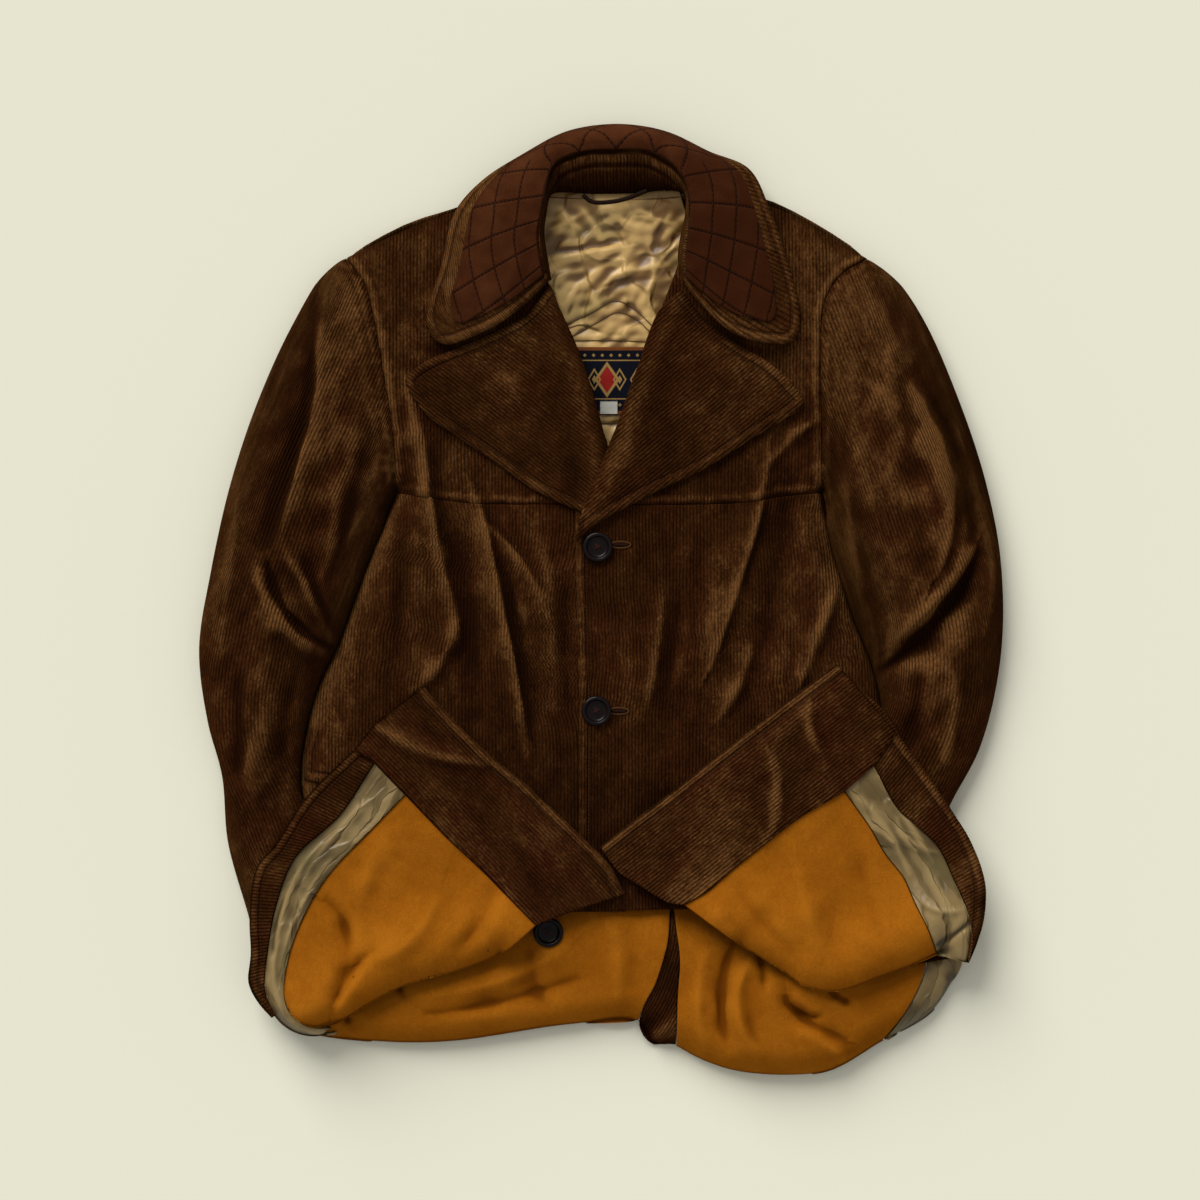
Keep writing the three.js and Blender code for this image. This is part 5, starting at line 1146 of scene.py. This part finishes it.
bottomSamples, upperSamples = curve(bottomEdge, 90), curve(upperEdge, 40)


def skirtTop(x, y):
    rounded = roundOff(nearest(bottomSamples, x, y)[0], skirt["rounding"])
    away = np.hypot(x - skirt["puffX"], y - skirt["puffY"]) / skirt["puffRadius"]
    low = skirt["under"] * np.exp(-((nearest(upperSamples, x, y)[0] / 18) ** 2))
    folds = foldHeight(skirtFolds, x, y, 80)[0] * 0.9 + 0.6 * ripple(x, y, 60, 90) + 0.15 * ripple(x, y, 24, 91)
    return np.maximum(1.8, (skirt["height"] + skirt["puff"] * np.exp(-(away**2)) - low + folds) * rounded)


ventEdge = [(60, -256), (58, -289), (54, -306), (47, -327), (38, -344), (32.5, -360)]
skirtPieces = {
    "back_lining_right": {
        "borders": ([(-222, -305), (-240, -340), (-245, -371)], ventEdge,
                    [(-222, -305), (-150, -292), (-60, -260), (60, -256)],
                    [(-245, -371), (-212, -376), (-162, -379), (-119, -377), (-32, -364), (32.5, -360)]),
        "look": orange, "slot": "wool_lining", "size": (80, 130),
    },
    "back_lining_left": {
        "borders": ([(62.4, -256), (65, -280), (68, -306), (66, -340), (65, -382)],
                    [(278, -280), (277, -312), (264, -344), (242, -376)],
                    [(62.4, -256), (110, -266), (170, -296), (230, -296), (278, -280)],
                    [(65, -382), (85, -393), (114, -403), (156, -407), (194, -403), (242, -376)]),
        "look": orange, "slot": "wool_lining", "size": (100, 130),
    },
    "satin_band_back": {
        "borders": ([(279, -280), (278, -312), (265, -344), (243.4, -375.6)],
                    [(305, -280), (309, -305), (300, -329), (283, -353), (246, -376)],
                    [(279, -280), (305, -280)], [(243.4, -375.6), (246, -376)]),
        "look": sage, "slot": "satin_band", "size": (110, 20),
    },
    "vent_underlap": {
        "borders": ([(60.6, -256), (59.4, -280), (58.4, -289), (54.4, -306), (47.4, -327), (38.4, -344), (33, -361)],
                    [(62, -256), (64.8, -280), (67.7, -306), (65.7, -340), (64.6, -381)],
                    [(60.6, -256), (62, -256)], [(33, -361), (38, -373), (46, -380), (64.6, -381)]),
        "look": brownInside, "slot": "corduroy", "size": (60, 14),
    },
}
for name, piece in skirtPieces.items():
    plan = inset(patch(*piece["borders"], *piece["size"]))
    grid = lift(plan, np.maximum(skirtTop(plan[..., 0], plan[..., 1]) - 2 * (name == "vent_underlap"), 1.6))
    laid = clothMap(grid, 0) if piece["look"] is orange else stripMap(grid, True)
    # Painted shade: every piece of the lower back a little darker
    sheet(name, grid, 1.4, laid, piece["look"], piece["slot"], held="folded", restsOn=("floor",), nap=-0.3)
print("lower back made")

# Neck lining with its rows of stitches
neck = {"low": 7.2, "rise": 3.0, "thread": 0.4}
neckStitches = {
    "upper_point": [(-40, 230), (-21, 239), (-3, 248), (12, 256), (28, 250), (44, 235), (60, 220)],
    "lower_point": [(-40, 217), (-23, 226), (-3, 237), (15, 246), (31, 240), (42, 230), (58, 214)],
    "over_label": [(-46, 221), (6, 222), (58, 220)],
    "under_label": [(-30, 152), (6, 151), (42, 152)],
    "foot": [(-22, 128), (4, 124), (30, 128)],
}
neckFolds = [
    (-44, 291, -12, 297, 20, 303, 2.6, 8, 3.0, 1.3),
    (-34, 299, -8, 302, 22, 309, 4, 3, -2.4, 1.5),
    (4, 268, 18, 279, 44, 283, 7, 2.6, 2.8, 1.3),
    (8, 262, 22, 272, 44, 275, 3, 5, -2.2, 1.5),
    (-29, 242, -19, 268, 10, 288, 3.4, 7, 3.0, 1.3),
    (-36, 342, -28, 326, -16, 317, 4, 3, 2.4, 1.3),
    (-46, 316, -32, 321, -12, 332, 3, 5, 2.2, 1.3),
    (-20, 342, -6, 322, 5, 304, 3, 5, 2.2, 1.3),
    (6, 338, 20, 323, 38, 316, 4, 3, 2.4, 1.3),
    (28, 340, 44, 327, 64, 322, 3, 4, 2.4, 1.3),
    (58, 334, 50, 312, 46, 292, 4, 4, -2.4, 1.5),
    (42, 302, 46, 282, 40, 262, 5, 3, 2.4, 1.3),
    (66, 304, 56, 296, 48, 282, 3, 3, 2.0, 1.4),
    (-44, 272, -35, 255, -31, 238, 4, 4, 2.2, 1.4),
    (-18, 264, -25, 250, -29, 238, 3, 5, -2.0, 1.5),
    (-8, 264, -3, 254, 5, 247, 3, 4, 1.6, 1.4),
    (-26, 206, -34, 180, -28, 156, 5, 5, 2.5, 1.5),
    (52, 214, 48, 186, 44, 160, 5, 6, 2.5, 1.5),
    (-14, 146, -2, 136, 16, 118, 4, 6, 2.5, 1.4),
]


def neckTop(x, y, crumpled=1.0):
    soft = 0.9 * np.sin(y / 17 + x / 31) ** 2
    rows = sum(np.exp(-((nearest(curve(line, 30), x, y)[0] / 2.2) ** 2)) for line in neckStitches.values())
    creased = foldHeight(neckFolds, x, y, 50)[0] + 0.8 * ripple(x, y, 34, 44) + 0.5 * ripple(x, y, 16, 45) - 0.8 * rows
    return neck["low"] + neck["rise"] * smooth(y, 300, 336) + soft + crumpled * creased * (1 - smooth(y, 326, 342))


plan = inset(patch([(-42, 350), (-60, 300), (-50, 230), (-20, 140), (-12, 92)],
                   [(68, 350), (80, 300), (66, 230), (40, 150), (4, 92)],
                   [(-42, 350), (12, 350), (68, 350)], [(-12, 92), (4, 92)], 170, 90))
x, y = plan[..., 0], plan[..., 1]
calm = 1 - 0.8 * smooth(38 - abs(x - 6), 0, 8) * smooth(32 - abs(y - 187), 0, 8)
grid = lift(plan, neckTop(x, y, calm))
sheet("neck_lining", grid, 1.4, clothMap(grid, 0), gold, "neck_satin", restsOn=("back",))


def plainThread(name, colour, rough=0.7):
    look, n, shader = material(name, Roughness=rough, Specular_IOR_Level=0.05)
    place = n.add("ShaderNodeTexCoord").outputs["Object"]
    n.put(shader["Base Color"], n.mix(n.noise(place, 700.0), tuple(c * 0.5 for c in colour[:3]) + (1,), colour))
    return look


quiltThread = plainThread("quilt_thread", (0.1, 0.06, 0.022, 1))
holeThread = plainThread("buttonhole_thread", (0.07, 0.028, 0.007, 1))
slitShade = plainThread("buttonhole_slit_shade", (0.016, 0.004, 0.0016, 1))
buttonThread = plainThread("button_thread", (0.05, 0.012, 0.008, 1))
cordBrown = plainThread("cord_brown", (0.016, 0.007, 0.004, 1))
for name, line in neckStitches.items():
    x, y = curve(line, 50).T
    tube("quilt_" + name, np.stack([x, y, neckTop(x, y, 1.0) + 0.2], 1), neck["thread"], quiltThread, sides=6)


def neckPatch(name, left, right, low, high, above, thickness, look, slotName):
    plan = inset(patch([(left, high), (left, low)], [(right, high), (right, low)], [(left, high), (right, high)],
                       [(left, low), (right, low)], 30, 36))
    grid = lift(plan, neckTop(plan[..., 0], plan[..., 1], 0.22) + above + thickness)
    sheet(name, grid, thickness, clothMap(grid, 0), look, slotName, restsOn=("neck_lining",))


# Woven cloth with lozenges: x, y, half width and half height in metres, and the colour
def plainWeave(name, colour, lozenges=(), bands=(), thread=0.0004):
    look, n, shader = material(name, Roughness=0.85, Specular_IOR_Level=0.08)
    u, v, _ = n.split(n.cloth())
    woven = n.math("MULTIPLY", *(n.math("SINE", n.math("DIVIDE", a, thread / (2 * math.pi))) for a in (u, v)))
    shade = n.mix(n.step(woven, -0.8, 0.8), colour, tuple(c * 0.75 for c in colour[:3]) + (1,))
    for low, high, tone in bands:
        shade = n.mix(n.math("MULTIPLY", n.step(v, low - 0.0002, low), n.step(v, high + 0.0002, high)), shade, tone)
    for x, y, wide, high, size, tone in lozenges:
        a = n.math("DIVIDE", n.math("ABSOLUTE", n.math("SUBTRACT", u, x)), wide)
        b = n.math("DIVIDE", n.math("ABSOLUTE", n.math("SUBTRACT", v, y)), high)
        ring = n.math("ABSOLUTE", n.math("SUBTRACT", n.math("ADD", a, b), 0.82))
        shade = n.mix(n.step(ring if size == "ring" else n.math("ADD", a, b), *((0.14, 0.1) if size == "ring" else (1.0, 0.96))),
                      shade, tone)
    n.put(shader["Base Color"], shade)
    n.put(shader["Normal"], n.add("ShaderNodeBump", {"Height": woven, "Strength": 0.4, "Distance": 0.0002}).outputs[0])
    return look


goldThread, redThread, backing = (0.3, 0.18, 0.055, 1), (0.26, 0.014, 0.01, 1), (0.16, 0.05, 0.012, 1)
bands = [(0.15, 0.1615, backing), (0.2135, 0.23, backing), (0.2045, 0.2053, goldThread), (0.1715, 0.1723, goldThread)]
lozenges = [(0.006, 0.1885, 0.0082, 0.0115, "full", redThread), (0.006, 0.1885, 0.0115, 0.0165, "ring", goldThread)]
for k in range(-2, 4):
    x = 0.006 + 0.0145 * (k - 0.5 + (0.25 if k > 0 else -0.25))
    lozenges += [(x, 0.1885, 0.0062, 0.0105, "ring", goldThread), (x, 0.1885, 0.0022, 0.0038, "full", goldThread)]
lozenges += [(x, y, 0.0016, 0.0016, "full", goldThread) for x in np.arange(-0.028, 0.04, 0.0075) for y in (0.2093, 0.1668)]
labelDark = plainWeave("label_weave", (0.0045, 0.005, 0.0105, 1), lozenges, bands)
tabWhite = plainWeave("tab_weave", (0.62, 0.6, 0.52, 1))
neckPatch("label", -30, 42, 158, 216.5, 0.9, 0.8, labelDark, "woven_label")
neckPatch("size_tab", 0, 15, 159, 170, 2.0, 0.6, tabWhite, "white_tab")

hangerLoop = [(-14.5, 345, 18.6), (-7, 339.4, 19), (9, 339.2, 19.2), (24, 342.4, 19.4), (40, 349, 19.2)]
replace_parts(tube("hanger_cord", hangerLoop, 1.9, cordBrown, sides=12), "hanger_loop")

# Pocket flap that shows beside the turned-up corner
flapEnd, flapFoot = [(-246, -109), (-252, -131), (-253, -153)], [(-253, -153), (-207, -160), (-112, -160)]
plan = inset(patch(flapEnd, [(-112, -118), (-112, -160)], [(-246, -109), (-207, -116), (-112, -118)], flapFoot, 30, 80))
x, y = plan[..., 0], plan[..., 1]
near = sewn(x, y, flapEnd, flapFoot)
grid = lift(plan, frontTop(x, y) + 3 + edgeRoll(near["edge"]))
sheet("pocket_flap_right", grid, 2.4, clothMap(grid, 0), brown, "corduroy", restsOn=("front_right",), **near)

# Buttonholes of the wearer's left front: a rim of stitches round a dark tube that is painted shade in the slit
buttonhole = {"length": 17.0, "width": 5.4, "rim": 0.95, "slit": 1.7}
for name, (x, y) in {"buttonhole_1": (17.5, 46.8), "buttonhole_2": (16.0, -94.4)}.items():
    turn = np.linspace(0, 2 * math.pi, 25)
    round3 = np.stack([x + buttonhole["length"] / 2 * np.cos(turn), y + buttonhole["width"] / 2 * np.sin(turn)], 1)
    height = leftFrontTop(round3[:, 0], round3[:, 1]) + 0.2
    tube(name, np.column_stack([round3, height]), buttonhole["rim"], holeThread, closed=True, count=72)
    slit = np.stack([np.linspace(x - 5.5, x + 6, 12), np.full(12, float(y))], 1)
    tube(name + "_slit", np.column_stack([slit, leftFrontTop(*slit.T) - 0.1]), buttonhole["slit"], slitShade)
print("neck lining and trims made")

# Buttons, turned from a profile of radius and height in shares of the button's own
horn, n, shader = material("button_horn", Specular_IOR_Level=0.13)
place = n.add("ShaderNodeTexCoord").outputs["Object"]
n.put(shader["Base Color"], n.mix(n.noise(place, 120.0, 4.0), (0.0015, 0.001, 0.001, 1), (0.008, 0.004, 0.003, 1)))
n.put(shader["Roughness"], n.step(n.noise(place, 300.0, 4.0), 0.3, 0.7, 0.2, 0.34))
buttonProfile = [(0, 0), (0.72, 0), (0.96, 0.34), (1, 0.56), (0.985, 0.74), (0.94, 0.9), (0.87, 0.99), (0.8, 1), (0.75, 0.92),
                 (0.7, 0.7), (0.64, 0.5), (0.55, 0.42), (0.4, 0.42), (0.2, 0.5), (0, 0.54)]
for name in ("button_1", "button_2", "button_3"):
    box = np.array([bpy.data.objects[name].matrix_world @ v.co for v in bpy.data.objects[name].data.vertices])
    low, high = box.min(0), box.max(0)
    radius = (high[0] - low[0]) / 2
    tilt = 0.1 if name == "button_3" else 0.0
    thick = high[2] - low[2] - 2 * radius * math.sin(tilt)
    turn = np.linspace(0, 2 * math.pi, 64, endpoint=False)
    rings = [[(r * radius * math.cos(a), r * radius * math.sin(a), h * thick) for a in turn] for r, h in buttonProfile[1:-1]]
    points = [(0, 0, 0), (0, 0, buttonProfile[-1][1] * thick)] + [p for ring in rings for p in ring]
    ring = [2 + 64 * k + np.arange(64) for k in range(len(rings))]
    faces = [(a, b, c, d) for one, two in zip(ring, ring[1:]) for a, b, c, d in zip(one, np.roll(one, -1), np.roll(two, -1), two)]
    faces += [(0, b, a) for a, b in zip(ring[0], np.roll(ring[0], -1))]
    faces += [(1, a, b) for a, b in zip(ring[-1], np.roll(ring[-1], -1))]
    mesh = bpy.data.meshes.new(name + "_turned")
    mesh.from_pydata(points, [], [tuple(map(int, f)) for f in faces])
    centre = ((low[0] + high[0]) / 2, (low[1] + high[1]) / 2, low[2] + radius * math.sin(tilt))
    mesh.transform(Matrix.Translation(centre) @ Matrix.Rotation(-tilt, 4, "X"))
    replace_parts(finishMesh(name + "_turned", mesh, horn), name)
    x, y, z = (1000 * c for c in centre)
    z += thick * 1000 * 0.54 + 0.5
    for k, (dx, dy) in enumerate(((2.6, 1.4), (-1.4, 2.6))):
        tube("%s_thread_%d" % (name, k), [(x - dx, y - dy, z - 0.5), (x, y, z + 0.35 * k), (x + dx, y + dy, z - 0.5)], 0.55,
             buttonThread, count=16)

# Floor
floorLook, n, shader = material("floor", Roughness=0.95, Specular_IOR_Level=0.0)
shader["Base Color"].default_value = lighting["floor"]
mesh = bpy.data.meshes.new("floor")
mesh.from_pydata([(-30, -30, 0), (30, -30, 0), (30, 30, 0), (-30, 30, 0)], [], [(0, 1, 2, 3)])
mesh.materials.append(floorLook)
floor = bpy.data.objects.new("floor", mesh)
bpy.context.scene.collection.objects.link(floor)
